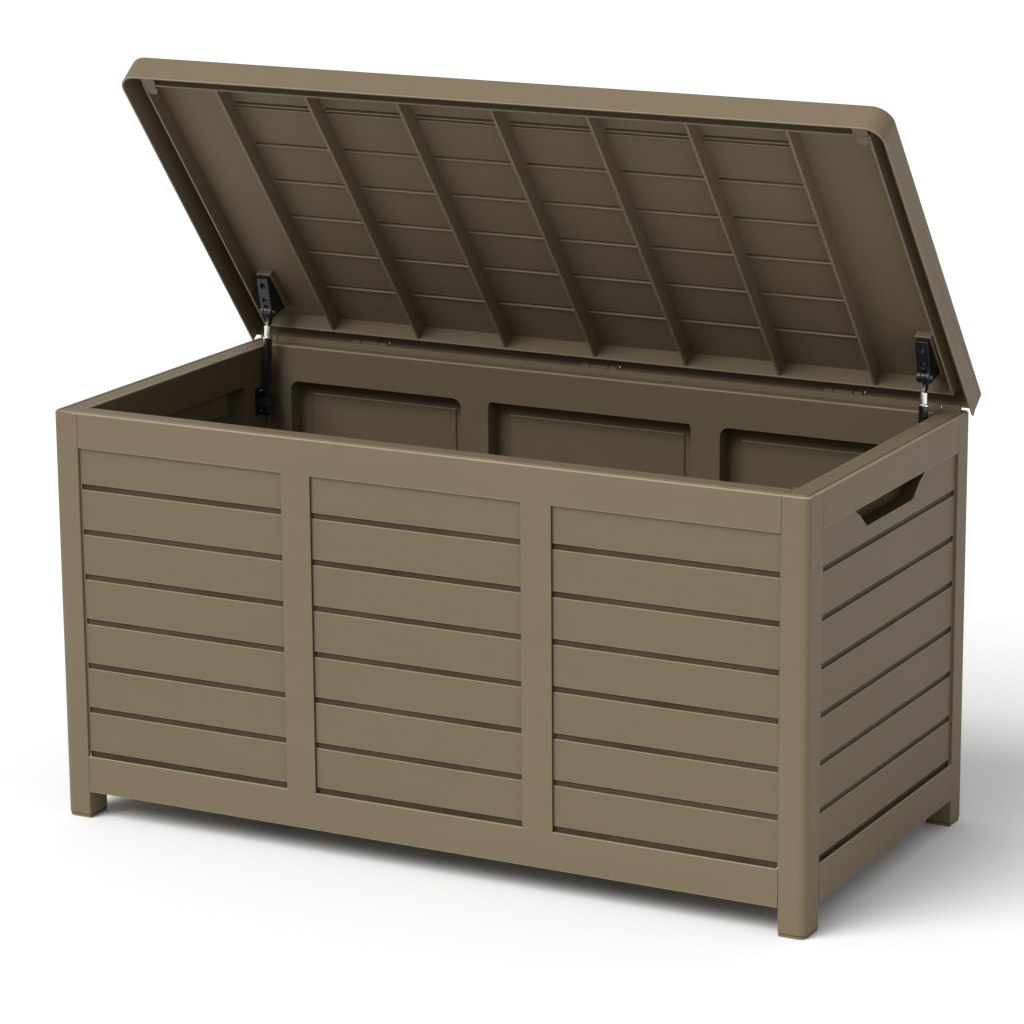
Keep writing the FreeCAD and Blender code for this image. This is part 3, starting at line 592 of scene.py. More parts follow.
# ---------------------------------------------------------------- walls
def slatted_face(bm, sizes, end, uprights):
    """Raises rails and uprights from the slats' plane, then sinks the gaps between slats."""
    rail_top, rail_bottom = FOOT_HEIGHT + sizes.bottom_rail, RIM - sizes.top_rail
    pitch = (rail_bottom - rail_top - sizes.groove_height - sizes.top_slat) / (sizes.slat_count - 1)
    gaps = [(rail_top + i * pitch, rail_top + i * pitch + sizes.groove_height)
            for i in range(sizes.slat_count)]
    stop = end - sizes.groove_stop
    slice_at(bm, 2, [rail_top, rail_bottom, *(z for gap in gaps for z in gap)])
    slice_at(bm, 0, [-stop, stop, *(x for span in uprights for x in span)])
    push(bm, looking(bm, -Y, lambda p: not rail_top < p.z < rail_bottom or between(p.x, uprights)),
         (0, -sizes.slat_recess, 0))
    plane = sizes.slat_recess
    push(bm, looking(bm, -Y, lambda p: abs(p.y - plane) < FLAT and abs(p.x) < stop
                     and between(p.z, gaps)), (0, sizes.groove_depth, 0))
    sunk = [(low - FLAT, high + FLAT) for low, high in gaps]
    # Painted shade in the grooves between slats and on the side walls of the slats' recess.
    paint_shade(bm, [f for f in bm.faces if FLAT < centre(f).y - plane < sizes.groove_depth + FLAT
               and between(centre(f).z, sunk)])
    paint_shade(bm, [f for f in bm.faces if abs(f.normal.x) > 0.9 and centre(f).y < plane
               and rail_top < centre(f).z < rail_bottom])
    # Lighter painted shade over the slats, which stand back from the rails.
    paint_shade(bm, looking(bm, -Y, lambda p: abs(p.y - plane) < FLAT), sizes.slat_shade)
    return [low for low, _ in gaps]


def hand_pocket(bm, sizes, pocket):
    """Sinks a pocket under the top rail, with sides that flare outwards near the top."""
    top = RIM - sizes.top_rail
    low = top - pocket.height
    bend = top - pocket.height * pocket.flare
    wide, narrow = pocket.top / 2, pocket.bottom / 2
    middle = (wide + narrow) / 2
    plane = sizes.slat_recess

    def half_width(z):
        if z > bend:
            return middle + (wide - middle) * (z - bend) / (top - bend)
        return narrow + (middle - narrow) * (z - low) / (bend - low)

    def strip():
        return looking(bm, -Y, lambda p: abs(p.y - plane) < FLAT and low < p.z < top
                       and abs(p.x) < wide)

    slice_at(bm, 2, [low], looking(bm, -Y, lambda p: abs(p.y - plane) < FLAT))
    slice_at(bm, 0, [-wide, wide], looking(bm, -Y, lambda p: abs(p.y - plane) < FLAT
                                           and low < p.z < top))
    for _, side in SIDES:
        for (x0, z0), (x1, z1) in (((wide, top), (middle, bend)), ((middle, bend), (narrow, low))):
            faces = strip()
            geom = list({g for f in faces for g in (*f.edges, *f.verts)})
            bmesh.ops.bisect_plane(bm, geom=geom + faces, dist=CUT, plane_co=(side * x0, plane, z0),
                                   plane_no=(z0 - z1, 0, side * (x1 - x0)))
    bm.normal_update()
    inside = [f for f in strip() if abs(centre(f).x) < half_width(centre(f).z)]
    push(bm, inside, (0, pocket.depth, 0))
    back = plane + pocket.depth
    # Painted shade inside the hand pocket.
    paint_shade(bm, [f for f in bm.faces if plane + FLAT < centre(f).y < back + FLAT
               and low - FLAT < centre(f).z < top + FLAT and abs(centre(f).x) < wide])
    deep = plane + pocket.depth / 2
    for z, radius, steps in ((low, pocket.corner, 5), (bend, pocket.corner * 0.6, 4)):
        corners = [e for e in along(bm, 1, lambda p: abs(p.z - z) < FLAT and abs(p.y - deep) < FLAT,
                                    0.1) if abs(abs(e.verts[0].co.x) - half_width(z)) < FLAT]
        soften(bm, corners, radius, steps, painted_highlight=False)


def inner_hollows(bm, sizes, bays, pocket=None):
    """Sinks the hollows of the inner face, round-cornered, with a raised field in each unless the wall
    has a hand pocket.
    """
    face, skin = sizes.thickness, sizes.bay_skin
    low, top = FOOT_HEIGHT + sizes.bottom_rail, RIM - sizes.bay_drop

    def at(depth):
        return looking(bm, Y, lambda p: abs(p.y - depth) < FLAT and low < p.z < top
                       and between(p.x, bays))

    cup = pocket.top / 2 + pocket.wall if pocket else 0.0
    cup_foot = RIM - sizes.top_rail - (pocket.height + pocket.wall if pocket else 0.0)
    plain = looking(bm, Y, lambda p: abs(p.y - face) < FLAT)
    plain = slice_at(bm, 0, [x for bay in bays for x in bay] + ([-cup, cup] if pocket else []), plain)
    slice_at(bm, 2, [low, top] + ([cup_foot] if pocket else []), plain)
    bm.normal_update()
    if pocket:
        behind = sizes.slat_recess + pocket.depth + pocket.wall
        push(bm, at(face), (0, behind - face, 0))
        push(bm, [f for f in at(behind) if abs(centre(f).x) > cup
                  or centre(f).z < cup_foot], (0, skin - behind, 0))
    else:
        push(bm, at(face), (0, skin - face, 0))
    corners = along(bm, 1, lambda p: p.y > skin and abs(p.z - top) < FLAT
                    and any(abs(p.x - x) < FLAT for bay in bays for x in bay))
    soften(bm, corners, sizes.bay_round, 6, painted_highlight=False)
    if not pocket:
        fields = [(x0 + sizes.bay_step, x1 - sizes.bay_step) for x0, x1 in bays]
        floor = slice_at(bm, 0, [x for field in fields for x in field], at(skin))
        slice_at(bm, 2, [low + sizes.bay_step, top - sizes.bay_step], floor)
        bm.normal_update()
        push(bm, [f for f in at(skin) if between(centre(f).x, fields)
                  and low + sizes.bay_step < centre(f).z < top - sizes.bay_step],
             (0, sizes.slat_recess / 2, 0))


def wall(sizes, run, uprights, bays, pocket=None):
    """One wall standing at the origin: outer face on y = 0 looking to -Y, inner face behind."""
    end = run / 2 - sizes.seam
    ledge = RIM - sizes.rim_line_depth
    line = (sizes.rim_line_inset, sizes.rim_line_inset + sizes.rim_line_width)
    bm = block((-end, sizes.slat_recess, FOOT_HEIGHT), (end, sizes.thickness, ledge))
    slat_tops = slatted_face(bm, sizes, end, uprights)
    slice_at(bm, 1, line, looking(bm, Z, lambda p: abs(p.z - ledge) < FLAT))
    bm.normal_update()
    push(bm, looking(bm, Z, lambda p: abs(p.z - ledge) < FLAT and not line[0] < p.y < line[1]),
         (0, 0, sizes.rim_line_depth))
    # Painted shade in the rim line.
    paint_shade(bm, looking(bm, Z, lambda p: abs(p.z - ledge) < FLAT))
    if pocket:
        hand_pocket(bm, sizes, pocket)
    inner_hollows(bm, sizes, bays, pocket)
    # Painted shade on the wall's inner faces.
    paint_shade(bm, looking(bm, Y, lambda p: p.y > sizes.slat_recess), sizes.inner_shade)
    tidy(bm)
    soften(bm, along(bm, 0, lambda p: abs(p.y - sizes.slat_recess) < FLAT
                     and any(abs(p.z - z) < FLAT for z in slat_tops)), sizes.slat_round, 4)
    soften(bm, along(bm, 0, lambda p: p.z > RIM - FLAT
                     and not FLAT < p.y < sizes.thickness - FLAT), sizes.rim_round, 4)
    soften(bm, sharp_edges(bm, lambda p: p.z > ledge - FLAT and abs(p.x) < end - FLAT),
           sizes.rim_line_width / 4, 2)
    step = sizes.bay_skin + sizes.slat_recess / 2
    soften(bm, sharp_edges(bm, lambda p: abs(p.y - step) < FLAT and p.z > FOOT_HEIGHT + FLAT
                           and between(p.x, bays) and abs(p.x) < end - sizes.bay_round),
           sizes.slat_recess / 8, 2)
    soften(bm, sharp_edges(bm, lambda p: p.z < ledge - FLAT and abs(p.x) < end - FLAT), sizes.edge, 2)
    return bm


def long_wall(sizes):
    half = sizes.mullion_width / 2
    inner, outer = sizes.mullion_centre - half, sizes.mullion_centre + half
    shift, reach = sizes.bay_shift, sizes.front_bay_reach
    bays = [(-reach, -outer - shift), (-inner - shift, inner + shift), (outer + shift, reach)]
    return wall(sizes, FRONT_RUN, [(-outer, -inner), (inner, outer)], bays)


def short_wall(sizes, pocket):
    reach = HALF_DEPTH - sizes.side_bay_margin
    return wall(sizes, SIDE_RUN, [], [(-reach, reach)], pocket)


def corner_post(sizes, place, side, end):
    """A post with its outer edge rounded and the rim line turning its corner."""
    low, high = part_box(f"corner_post_{place}")
    outer_x, outer_y = side * HALF_WIDTH, end * HALF_DEPTH
    ledge = RIM - sizes.rim_line_depth
    inset, width = sizes.rim_line_inset, sizes.rim_line_width
    bm = block(low, (high.x, high.y, ledge))
    slice_at(bm, 0, [outer_x - side * inset, outer_x - side * (inset + width)])
    slice_at(bm, 1, [outer_y - end * inset, outer_y - end * (inset + width)])

    def gaps(p):
        """How far a point stands in from the body's side and from its front or back."""
        return abs(outer_x - p.x), abs(outer_y - p.y)

    def in_line(p, slack=0.0):
        return inset - slack < min(gaps(p)) < inset + width + slack

    def on_rim(edge):
        ends = [gaps(v.co) for v in edge.verts]
        return (max(x for x, _ in ends) < FLAT or max(y for _, y in ends) < FLAT
                or all(math.hypot(*end_gaps) < sizes.post_round for end_gaps in ends))

    push(bm, looking(bm, Z, lambda p: not in_line(p)), (0, 0, sizes.rim_line_depth))
    # Painted shade in the rim line.
    paint_shade(bm, looking(bm, Z, in_line))
    tidy(bm)
    soften(bm, along(bm, 2, lambda p: max(gaps(p)) < FLAT), sizes.post_round, 6, painted_highlight=False)
    rim = sharp_edges(bm, lambda p: abs(p.z - RIM) < FLAT and min(gaps(p)) < inset - FLAT)
    soften(bm, [e for e in rim if on_rim(e)], sizes.rim_round, 4)
    soften(bm, sharp_edges(bm, lambda p: p.z > ledge - FLAT and in_line(p, FLAT)), width / 4, 2)
    soften(bm, sharp_edges(bm, lambda p: p.z < low.z + FLAT), sizes.foot_round, 3, painted_highlight=False)
    soften(bm, along(bm, 2, lambda p: True), sizes.edge, 2)
    if end > 0:
        add_lip(bm, sizes, side * (FRONT_RUN / 2 + MM), side * (HALF_WIDTH - sizes.lip_inset))
    return bm


def foot_plug(sizes, place, side, end):
    """The plate under a post with the spigot that holds it."""
    low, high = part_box(f"foot_plug_{place}")
    plate_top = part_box(f"corner_post_{place}")[0].z
    bm = block(low, (high.x, high.y, plate_top))
    soften(bm, along(bm, 2, lambda p: p.x * side > abs(low.x + high.x) / 2
                     and p.y * end > abs(low.y + high.y) / 2),
           sizes.post_round - sizes.plug_edge, 6, painted_highlight=False)
    top = looking(bm, Z, lambda p: True)
    bmesh.ops.inset_region(bm, faces=top, thickness=sizes.plug_inset, use_even_offset=True)
    push(bm, top, (0, 0, high.z - plate_top))
    soften(bm, sharp_edges(bm, lambda p: p.z < low.z + FLAT), sizes.plug_edge, 2)
    return bm


# ---------------------------------------------------------------- hinges
def barrel(x0, x1, radius):
    """A round barrel along the hinge line with softened ends."""
    soft = radius / 6
    bm = turned([(0, x0), (radius - soft, x0), (radius, x0 + soft), (radius, x1 - soft),
                 (radius - soft, x1), (0, x1)], 32)
    bmesh.ops.rotate(bm, cent=(0, 0, 0), matrix=Matrix.Rotation(math.pi / 2, 3, "Y"), verts=bm.verts)
    bmesh.ops.translate(bm, vec=(0, HINGE_POINT.y, HINGE_POINT.z), verts=bm.verts)
    return bm


KNUCKLE_HALF, KNUCKLE_RADIUS = 15 * MM, 5.5 * MM
LUG_GAP, LUG_LENGTH = 1 * MM, 15 * MM
LUG_FOOT, LUG_ROOT = 3 * MM, 8 * MM     # lug's foot in front of its barrel, and below the rim
HINGE_EDGE = 0.6 * MM


def hinge_places():
    """The middle of each hinge pin, along X."""
    return [sum(corner.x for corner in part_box(f"hinge_pin_{place}")) / 2 for place in PLACES]


def add_lip(bm, sizes, x0, x1):
    """A run of the low upstand on the back rim."""
    back = HALF_DEPTH - sizes.lip_inset
    lip = block((min(x0, x1), back - sizes.lip_width, RIM - sizes.lip_width),
                (max(x0, x1), back, RIM + sizes.lip_height))
    soften(lip, sharp_edges(lip), sizes.lip_width / 4, 3, painted_highlight=False)
    absorb(bm, lip)


def add_lugs(bm, sizes):
    """The back wall's upstand and the two lugs of each hinge on its rim."""
    reach = FRONT_RUN / 2 - sizes.seam
    add_lip(bm, sizes, -reach, reach)
    for x in hinge_places():
        for side in (-1, 1):
            near = x + side * (KNUCKLE_HALF + LUG_GAP)
            x0, x1 = sorted((near, near + side * LUG_LENGTH))
            absorb(bm, barrel(x0, x1, KNUCKLE_RADIUS))
            foot = block((x0, HINGE_POINT.y - KNUCKLE_RADIUS - LUG_FOOT, RIM - LUG_ROOT),
                         (x1, HINGE_POINT.y, HINGE_POINT.z))
            soften(foot, sharp_edges(foot), HINGE_EDGE, 2)
            absorb(bm, foot)
    return bm


def add_knuckles(bm, under, back):
    """The lid's barrel at each hinge and the web that carries it."""
    for x in hinge_places():
        absorb(bm, barrel(x - KNUCKLE_HALF, x + KNUCKLE_HALF, KNUCKLE_RADIUS))
        web = block((x - KNUCKLE_HALF, HINGE_POINT.y - KNUCKLE_RADIUS + MM, HINGE_POINT.z),
                    (x + KNUCKLE_HALF, back - HAIR, under + MM))
        soften(web, sharp_edges(web), HINGE_EDGE, 2)
        absorb(bm, web)
    return bm


# ---------------------------------------------------------------- lid
def open_up(bm):
    """Turns a piece drawn shut to its open place."""
    bmesh.ops.rotate(bm, cent=HINGE_POINT, matrix=Matrix.Rotation(-OPEN_ANGLE, 3, "X"),
                     verts=bm.verts)
    return bm


def lid_walls(bm, lid, under, back, floor):
    """Skirt and flange, drawn down from the underside; the back skirt clears the hinges."""
    rings = []
    for thickness in (lid.wall, lid.flange_inset - lid.wall, lid.flange_wall):
        made = bmesh.ops.inset_region(bm, faces=floor, thickness=thickness, use_even_offset=True)
        rings.append(made["faces"])
    skirt, _, flange = rings
    notches = [tuple(sorted((x + side * (KNUCKLE_HALF + LUG_GAP / 2),
                             x + side * (KNUCKLE_HALF + 2 * LUG_GAP + LUG_LENGTH))))
               for x in hinge_places() for side in (-1, 1)]
    behind = [f for f in skirt if centre(f).y > back - lid.wall]
    kept = [f for f in skirt if f not in behind]
    behind = slice_at(bm, 0, [x for notch in notches for x in notch], behind)
    bm.normal_update()
    notch_top = HINGE_POINT.z + KNUCKLE_RADIUS + LUG_GAP
    skirt_top = RIM + lid.back_skirt_gap
    front = push(bm, kept + behind, (0, 0, notch_top - under))
    front = [f for f in front if not (centre(f).y > back - lid.wall
                                      and between(centre(f).x, notches))]
    front = push(bm, front, (0, 0, skirt_top - notch_top))
    front = [f for f in front if centre(f).y < back - lid.wall]
    push(bm, front, (0, 0, RIM - lid.drop - skirt_top))
    push(bm, flange, (0, 0, RIM + lid.flange_gap - under))


def underside(bm, lid, stays, under, front):
    """Ribs, the pads for the stays and the lapped slat lines between the ribs."""
    inset = lid.flange_inset + lid.flange_wall
    y0, y1 = front + inset, HALF_DEPTH + lid.back_gap - inset
    ribs = [i * lid.rib_spacing for i in range(-lid.rib_pairs, lid.rib_pairs + 1)]
    half = lid.rib_width / 2
    rib_spans = [(x - half, x + half) for x in ribs]
    clear = half + lid.board_gap
    board_spans = [(a + clear, b - clear) for a, b in zip(ribs, ribs[1:])]
    first = front + lid.flange_inset + lid.line_first
    lines = [first - lid.line_double] + [first + i * lid.line_pitch for i in range(lid.line_count)]
    lips = [(y, y + lid.lip_width) for y in lines]
    gaps = [(y - lid.lip_width, y) for y in lines]
    pad_low, pad_high = pad_corners(stays)
    plane = looking(bm, -Z, lambda p: abs(p.z - under) < FLAT and y0 < p.y < y1)
    xs = [x for span in rib_spans + board_spans for x in span]
    xs += [s * x for s in (-1, 1) for x in (pad_low.x, pad_high.x)]
    plane = slice_at(bm, 0, xs, plane)
    ys = [y for span in lips + gaps for y in span] + [y0 + HAIR, y1 - HAIR]
    slice_at(bm, 1, ys + [pad_low.y, pad_high.y], plane)
    bm.normal_update()

    def pick(test):
        return looking(bm, -Z, lambda p: abs(p.z - under) < FLAT
                       and y0 + HAIR < p.y < y1 - HAIR and test(p))

    push(bm, pick(lambda p: between(p.x, rib_spans)),
         (0, 0, RIM + lid.flange_gap + lid.rib_gap - under))
    push(bm, pick(lambda p: pad_low.x < abs(p.x) < pad_high.x and pad_low.y < p.y < pad_high.y),
         (0, 0, pad_low.z - under))
    push(bm, pick(lambda p: between(p.x, board_spans) and between(p.y, lips)),
         (0, 0, -lid.lip_height))
    sunk = pick(lambda p: between(p.x, board_spans) and between(p.y, gaps))
    # Painted shade in the sunk slat lines under the lid.
    paint_shade(bm, push(bm, sunk, (0, 0, lid.line_depth)))


def pad_corners(stays):
    """The thickened place under the lid that a bracket sits on, on the right side."""
    stay_x = JOINTS["stay_right_pivot"]["pos_m"][0]
    half = stays.bracket_width / 2 + stays.pad_margin
    front = HALF_DEPTH - stays.bracket_front - stays.pad_margin
    rear = HALF_DEPTH - stays.bracket_rear + stays.pad_margin
    return Vector((stay_x - half, front, RIM + stays.pad_level)), Vector((stay_x + half, rear, 0))


def lid_top_lines(bm, lid, top, front):
    """The slat lines on the lid's top with a line across their ends."""
    reach = lid.rib_pairs * lid.rib_spacing
    first = front + lid.flange_inset + lid.line_first
    lines = [(first + i * lid.line_pitch, first + i * lid.line_pitch + lid.line_width)
             for i in range(lid.line_count)]
    ends = [(s * reach - lid.line_width / 2, s * reach + lid.line_width / 2) for s in (-1, 1)]
    plane = slice_at(bm, 0, [x for span in ends for x in span], looking(bm, Z, lambda p: True))
    slice_at(bm, 1, [y for span in lines for y in span], plane)
    bm.normal_update()
    sunk = looking(bm, Z, lambda p: abs(p.z - top) < FLAT and lines[0][0] < p.y < lines[-1][1]
                   and (between(p.x, ends) or abs(p.x) < reach and between(p.y, lines)))
    # Painted shade in the slat lines on the lid's top.
    paint_shade(bm, push(bm, sunk, (0, 0, -lid.line_depth)))
    return (reach + lid.line_width, lines[0][0] - lid.line_width, lines[-1][1] + lid.line_width)


def lid_shape(lid, stays):
    """The whole lid, drawn shut."""
    half, front, back = HALF_WIDTH + lid.side_gap, -HALF_DEPTH - lid.front_gap, HALF_DEPTH + lid.back_gap
    top = RIM + lid.rise
    under = top - lid.skin
    bm = block((-half, front, under), (half, back, top))
    soften(bm, along(bm, 2, lambda p: p.y < 0), lid.corner, 10, painted_highlight=False)
    lid_walls(bm, lid, under, back, looking(bm, -Z, lambda p: True))
    underside(bm, lid, stays, under, front)
    reach, line_front, line_back = lid_top_lines(bm, lid, top, front)
    tidy(bm)
    soften(bm, along(bm, 2, lambda p: p.y > back - FLAT and abs(p.x) > half - FLAT
                     and p.z > RIM + lid.back_skirt_gap), lid.back_corner, 3, painted_highlight=False)

    def lined(p):
        return abs(p.x) < reach and line_front < p.y < line_back

    soften(bm, sharp_edges(bm, lambda p: p.z > top - FLAT and not lined(p)), lid.top_round, 4,
           painted_highlight=False)
    near = lid.line_depth + FLAT / 2
    soften(bm, sharp_edges(bm, lambda p: p.z > top - near and lined(p)), lid.line_edge, 2)
    soften(bm, sharp_edges(bm, lambda p: abs(p.z - under) < near), lid.line_edge, 2)
    soften(bm, sharp_edges(bm, lambda p: p.z < under - near), lid.edge, 2)
    return open_up(add_knuckles(bm, under, back))


# ---------------------------------------------------------------- floor
def floor_board(sizes, node):
    """Half of the floor with shallow plank lines on top."""
    bm = from_node(node)
    low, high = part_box(node)
    pitch = (high.y - low.y) / sizes.planks
    lines = [(low.y + i * pitch - sizes.line / 2, low.y + i * pitch + sizes.line / 2)
             for i in range(1, sizes.planks)]
    top = looking(bm, Z, lambda p: p.z > high.z - FLAT)
    slice_at(bm, 1, [y for line in lines for y in line], top)
    bm.normal_update()
    # Painted shade in the plank lines.
    paint_shade(bm, push(bm, looking(bm, Z, lambda p: p.z > high.z - FLAT and between(p.y, lines)),
                   (0, 0, -sizes.line_depth)))
    soften(bm, sharp_edges(bm, lambda p: p.z > high.z - FLAT), sizes.line_depth / 3, 2)
    return bm


# ---------------------------------------------------------------- stays
def hang(bm, sizes, joint):
    """Moves a piece drawn hanging from the origin to its stay's upper pivot."""
    bmesh.ops.rotate(bm, cent=(0, 0, 0), matrix=Matrix.Rotation(sizes.lean, 3, "X"), verts=bm.verts)
    bmesh.ops.translate(bm, vec=joint["pos_m"], verts=bm.verts)
    return bm


def ferrule(sizes):
    """The bright sleeve with a raised ring at its foot."""
    top, r, round_off = -sizes.neck_length, sizes.ferrule_radius, 0.8 * MM
    foot = top - sizes.ferrule_length
    ring = sizes.tube_radius + 0.5 * MM
    return turned([(0, top), (r - round_off, top), (r, top - round_off), (r, foot + 3.2 * MM),
                   (r + 0.4 * MM, foot + 2.6 * MM), (ring - 0.3 * MM, foot + 2.3 * MM),
                   (ring, foot + 2.0 * MM), (ring, foot - 0.4 * MM), (ring - 0.3 * MM, foot - 0.7 * MM),
                   (0, foot - 0.7 * MM)])


def tube(sizes):
    """The black tube, with a turned-in lip at each end."""
    top, r, lip = -sizes.neck_length - sizes.ferrule_length - 0.5 * MM, sizes.tube_radius, 0.6 * MM
    foot = -sizes.tube_end
    return turned([(0, top), (r - lip, top), (r, top - lip), (r, foot + lip), (r - lip, foot),
                   (0, foot)])


def tip(sizes):
    """The stop at the tube's end, with a rounded nose."""
    top, r = -sizes.tube_end, sizes.tip_radius
    foot, nose = top - sizes.tip_length, 4 * MM
    arc = [(r - nose + nose * math.sin(a), foot + nose - nose * math.cos(a))
           for a in (math.radians(15 * i) for i in range(6, -1, -1))]
    return turned([(0, top), (r - 0.6 * MM, top), (r, top - 0.6 * MM), *arc, (0, foot)])


def screw(radius, height, cross):
    """A domed head with a cross recess, its face up along +Z from the origin."""
    bm = turned([(0, 0), (radius, 0), (radius, height * 0.45), (radius * 0.86, height * 0.8),
                 (radius * 0.62, height), (0, height)], 40)
    tidy(bm)
    face = looking(bm, Z, lambda p: p.z > height * 0.95)
    half = cross / 2
    face = slice_at(bm, 0, [-half, half, -radius * 0.5, radius * 0.5], face)
    slice_at(bm, 1, [-half, half, -radius * 0.5, radius * 0.5], face)
    bm.normal_update()
    arms = looking(bm, Z, lambda p: p.z > height * 0.95 and min(abs(p.x), abs(p.y)) < half
                   and max(abs(p.x), abs(p.y)) < radius * 0.5)
    # Painted shade in the cross recess.
    paint_shade(bm, push(bm, arms, (0, 0, -height * 0.6)))
    return bm


def bracket_screws(sizes, side_x):
    """The two screws of one bracket, drawn shut with their heads down."""
    bm = bmesh.new()
    for back, seat in sizes.seats():
        head = screw(sizes.screw_head, sizes.screw_height, sizes.screw_cross)
        bmesh.ops.rotate(head, cent=(0, 0, 0), matrix=Matrix.Rotation(math.pi, 3, "X"),
                         verts=head.verts)
        bmesh.ops.translate(head, vec=(side_x, HALF_DEPTH - back, RIM + seat), verts=head.verts)
        absorb(bm, head)
    return open_up(bm)


def guide_screw_heads(sizes, side, node):
    """The heads of the screws that hold a keeper to the side wall."""
    low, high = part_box(node)
    reach = sizes.wall_screw_head
    face = (high.x if side < 0 else low.x)
    bm = bmesh.new()
    for z in (low.z + reach, high.z - reach):
        head = screw(reach, sizes.wall_screw_height, sizes.wall_screw_cross)
        bmesh.ops.rotate(head, cent=(0, 0, 0), matrix=Matrix.Rotation(-side * math.pi / 2, 3, "Y"),
                         verts=head.verts)
        bmesh.ops.translate(head, vec=(face, (low.y + high.y) / 2, z), verts=head.verts)
        absorb(bm, head)
    return bm


def softened(node, radius):
    """A merged copy of a CAD node with its sharp edges eased."""
    bm = from_node(node)
    soften(bm, sharp_edges(bm), radius, 2)
    return bm


# ---------------------------------------------------------------- operators
class BENCH_OT_posts(bpy.types.Operator):
    """Build the corner posts and their feet"""
    bl_idname = "bench.posts"
    bl_label = "Corner posts"

    def execute(self, context):
        sizes, looks = context.scene.bench_walls, finishes(context.scene.bench_colours)
        for place, side, end in CORNERS:
            piece(f"post_{place}", corner_post(sizes, place, side, end), "body",
                  looks["resin"], [f"corner_post_{place}"])
            piece(f"foot_{place}", foot_plug(sizes, place, side, end), "body",
                  looks["resin"], [f"foot_plug_{place}"])
        return {"FINISHED"}


class BENCH_OT_walls(bpy.types.Operator):
    """Build the four slatted walls"""
    bl_idname = "bench.walls"
    bl_label = "Walls"

    def execute(self, context):
        scene = context.scene
        sizes, pocket, looks = scene.bench_walls, scene.bench_pockets, finishes(scene.bench_colours)
        quarter = math.pi / 2
        front = place_wall(long_wall(sizes), 0, HALF_DEPTH)
        back = add_lugs(place_wall(long_wall(sizes), 2 * quarter, HALF_DEPTH), sizes)
        left = place_wall(short_wall(sizes, pocket), -quarter, HALF_WIDTH)
        right = place_wall(short_wall(sizes, pocket), quarter, HALF_WIDTH)
        for name, bm in (("front_panel", front), ("back_panel", back),
                         ("left_side_panel", left), ("right_side_panel", right)):
            piece(f"{name}_moulded", bm, "body", looks["resin"], [name])
        return {"FINISHED"}


class BENCH_OT_floor(bpy.types.Operator):
    """Build the floor boards and the beams under them"""
    bl_idname = "bench.floor"
    bl_label = "Floor"

    def execute(self, context):
        sizes, looks = context.scene.bench_floor, finishes(context.scene.bench_colours)
        for side, _ in SIDES:
            node = f"floor_panel_{side}"
            piece(f"floor_board_{side}", floor_board(sizes, node), "body",
                  looks["inner_resin"], [node])
        for place in PLACES:
            node = f"floor_beam_{place}"
            piece(f"floor_channel_{place}", softened(node, MM), "body",
                  looks["inner_resin"], [node])
        return {"FINISHED"}


class BENCH_OT_lid(bpy.types.Operator):
    """Build the lid and its corner buffers"""
    bl_idname = "bench.lid"
    bl_label = "Lid"

    def execute(self, context):
        scene = context.scene
        looks = finishes(scene.bench_colours)
        piece("lid_moulded", lid_shape(scene.bench_lid, scene.bench_stays), "lid",
              looks["lid_resin"], ["lid", "lid_flange", "lid_ribs"])
        for side, _ in SIDES:
            node = f"lid_buffer_{side}"
            piece(f"buffer_{side}", softened(node, 0.7 * MM), "lid", looks["rubber"],
                  [node])
        return {"FINISHED"}


class BENCH_OT_hinges(bpy.types.Operator):
    """Build the hinge pins"""
    bl_idname = "bench.hinges"
    bl_label = "Hinge pins"

    def execute(self, context):
        looks = finishes(context.scene.bench_colours)
        for place in PLACES:
            node = f"hinge_pin_{place}"
            piece(f"hinge_rod_{place}", softened(node, 0.5 * MM), "body", looks["steel"],
                  [node])
        return {"FINISHED"}


class BENCH_OT_stays(bpy.types.Operator):
    """Build both lid stays with their brackets and keepers"""
    bl_idname = "bench.stays"
    bl_label = "Lid stays"

    def execute(self, context):
        sizes, looks = context.scene.bench_stays, finishes(context.scene.bench_colours)
        for name, side in SIDES:
            joint = JOINTS[f"stay_{name}_pivot"]
            rows = (
                ("bracket", softened(f"stay_bracket_{name}", 0.8 * MM), "lid", "black_plastic",
                 "stay_bracket"),
                ("bracket_screws", bracket_screws(sizes, joint["pos_m"][0]), "lid", "screw_metal",
                 "stay_bracket_screws"),
                ("bracket_pin", softened(f"stay_pin_{name}", 0.4 * MM), "lid", "steel", "stay_pin"),
                ("eye", softened(f"stay_eye_{name}", 0.7 * MM), f"stay_{name}", "black_plastic",
                 "stay_eye"),
                ("ferrule", hang(ferrule(sizes), sizes, joint), f"stay_{name}", "bright_metal",
                 "stay_ferrule"),
                ("tube", hang(tube(sizes), sizes, joint), f"stay_{name}", "black_enamel",
                 "stay_tube"),
                ("tip", hang(tip(sizes), sizes, joint), f"stay_{name}", "black_plastic",
                 "stay_tip"),
                ("keeper", softened(f"stay_guide_{name}", 0.5 * MM), "body", "black_plastic",
                 "stay_guide"),
                ("keeper_screws", guide_screw_heads(sizes, side, f"stay_guide_screws_{name}"),
                 "body", "screw_metal", "stay_guide_screws"),
            )
            for part, bm, body, slot, node in rows:
                piece(f"{part}_{name}", bm, body, looks[slot], [f"{node}_{name}"])
        return {"FINISHED"}


class BENCH_OT_stage(bpy.types.Operator):
    """Set the floor, the light and the camera"""
    bl_idname = "bench.stage"
    bl_label = "Stage"

    def execute(self, context):
        scene, view = context.scene, context.scene.bench_view
        studio_floor(scene, view)
        studio_light(scene, view)
        place_camera(scene, view)
        return {"FINISHED"}


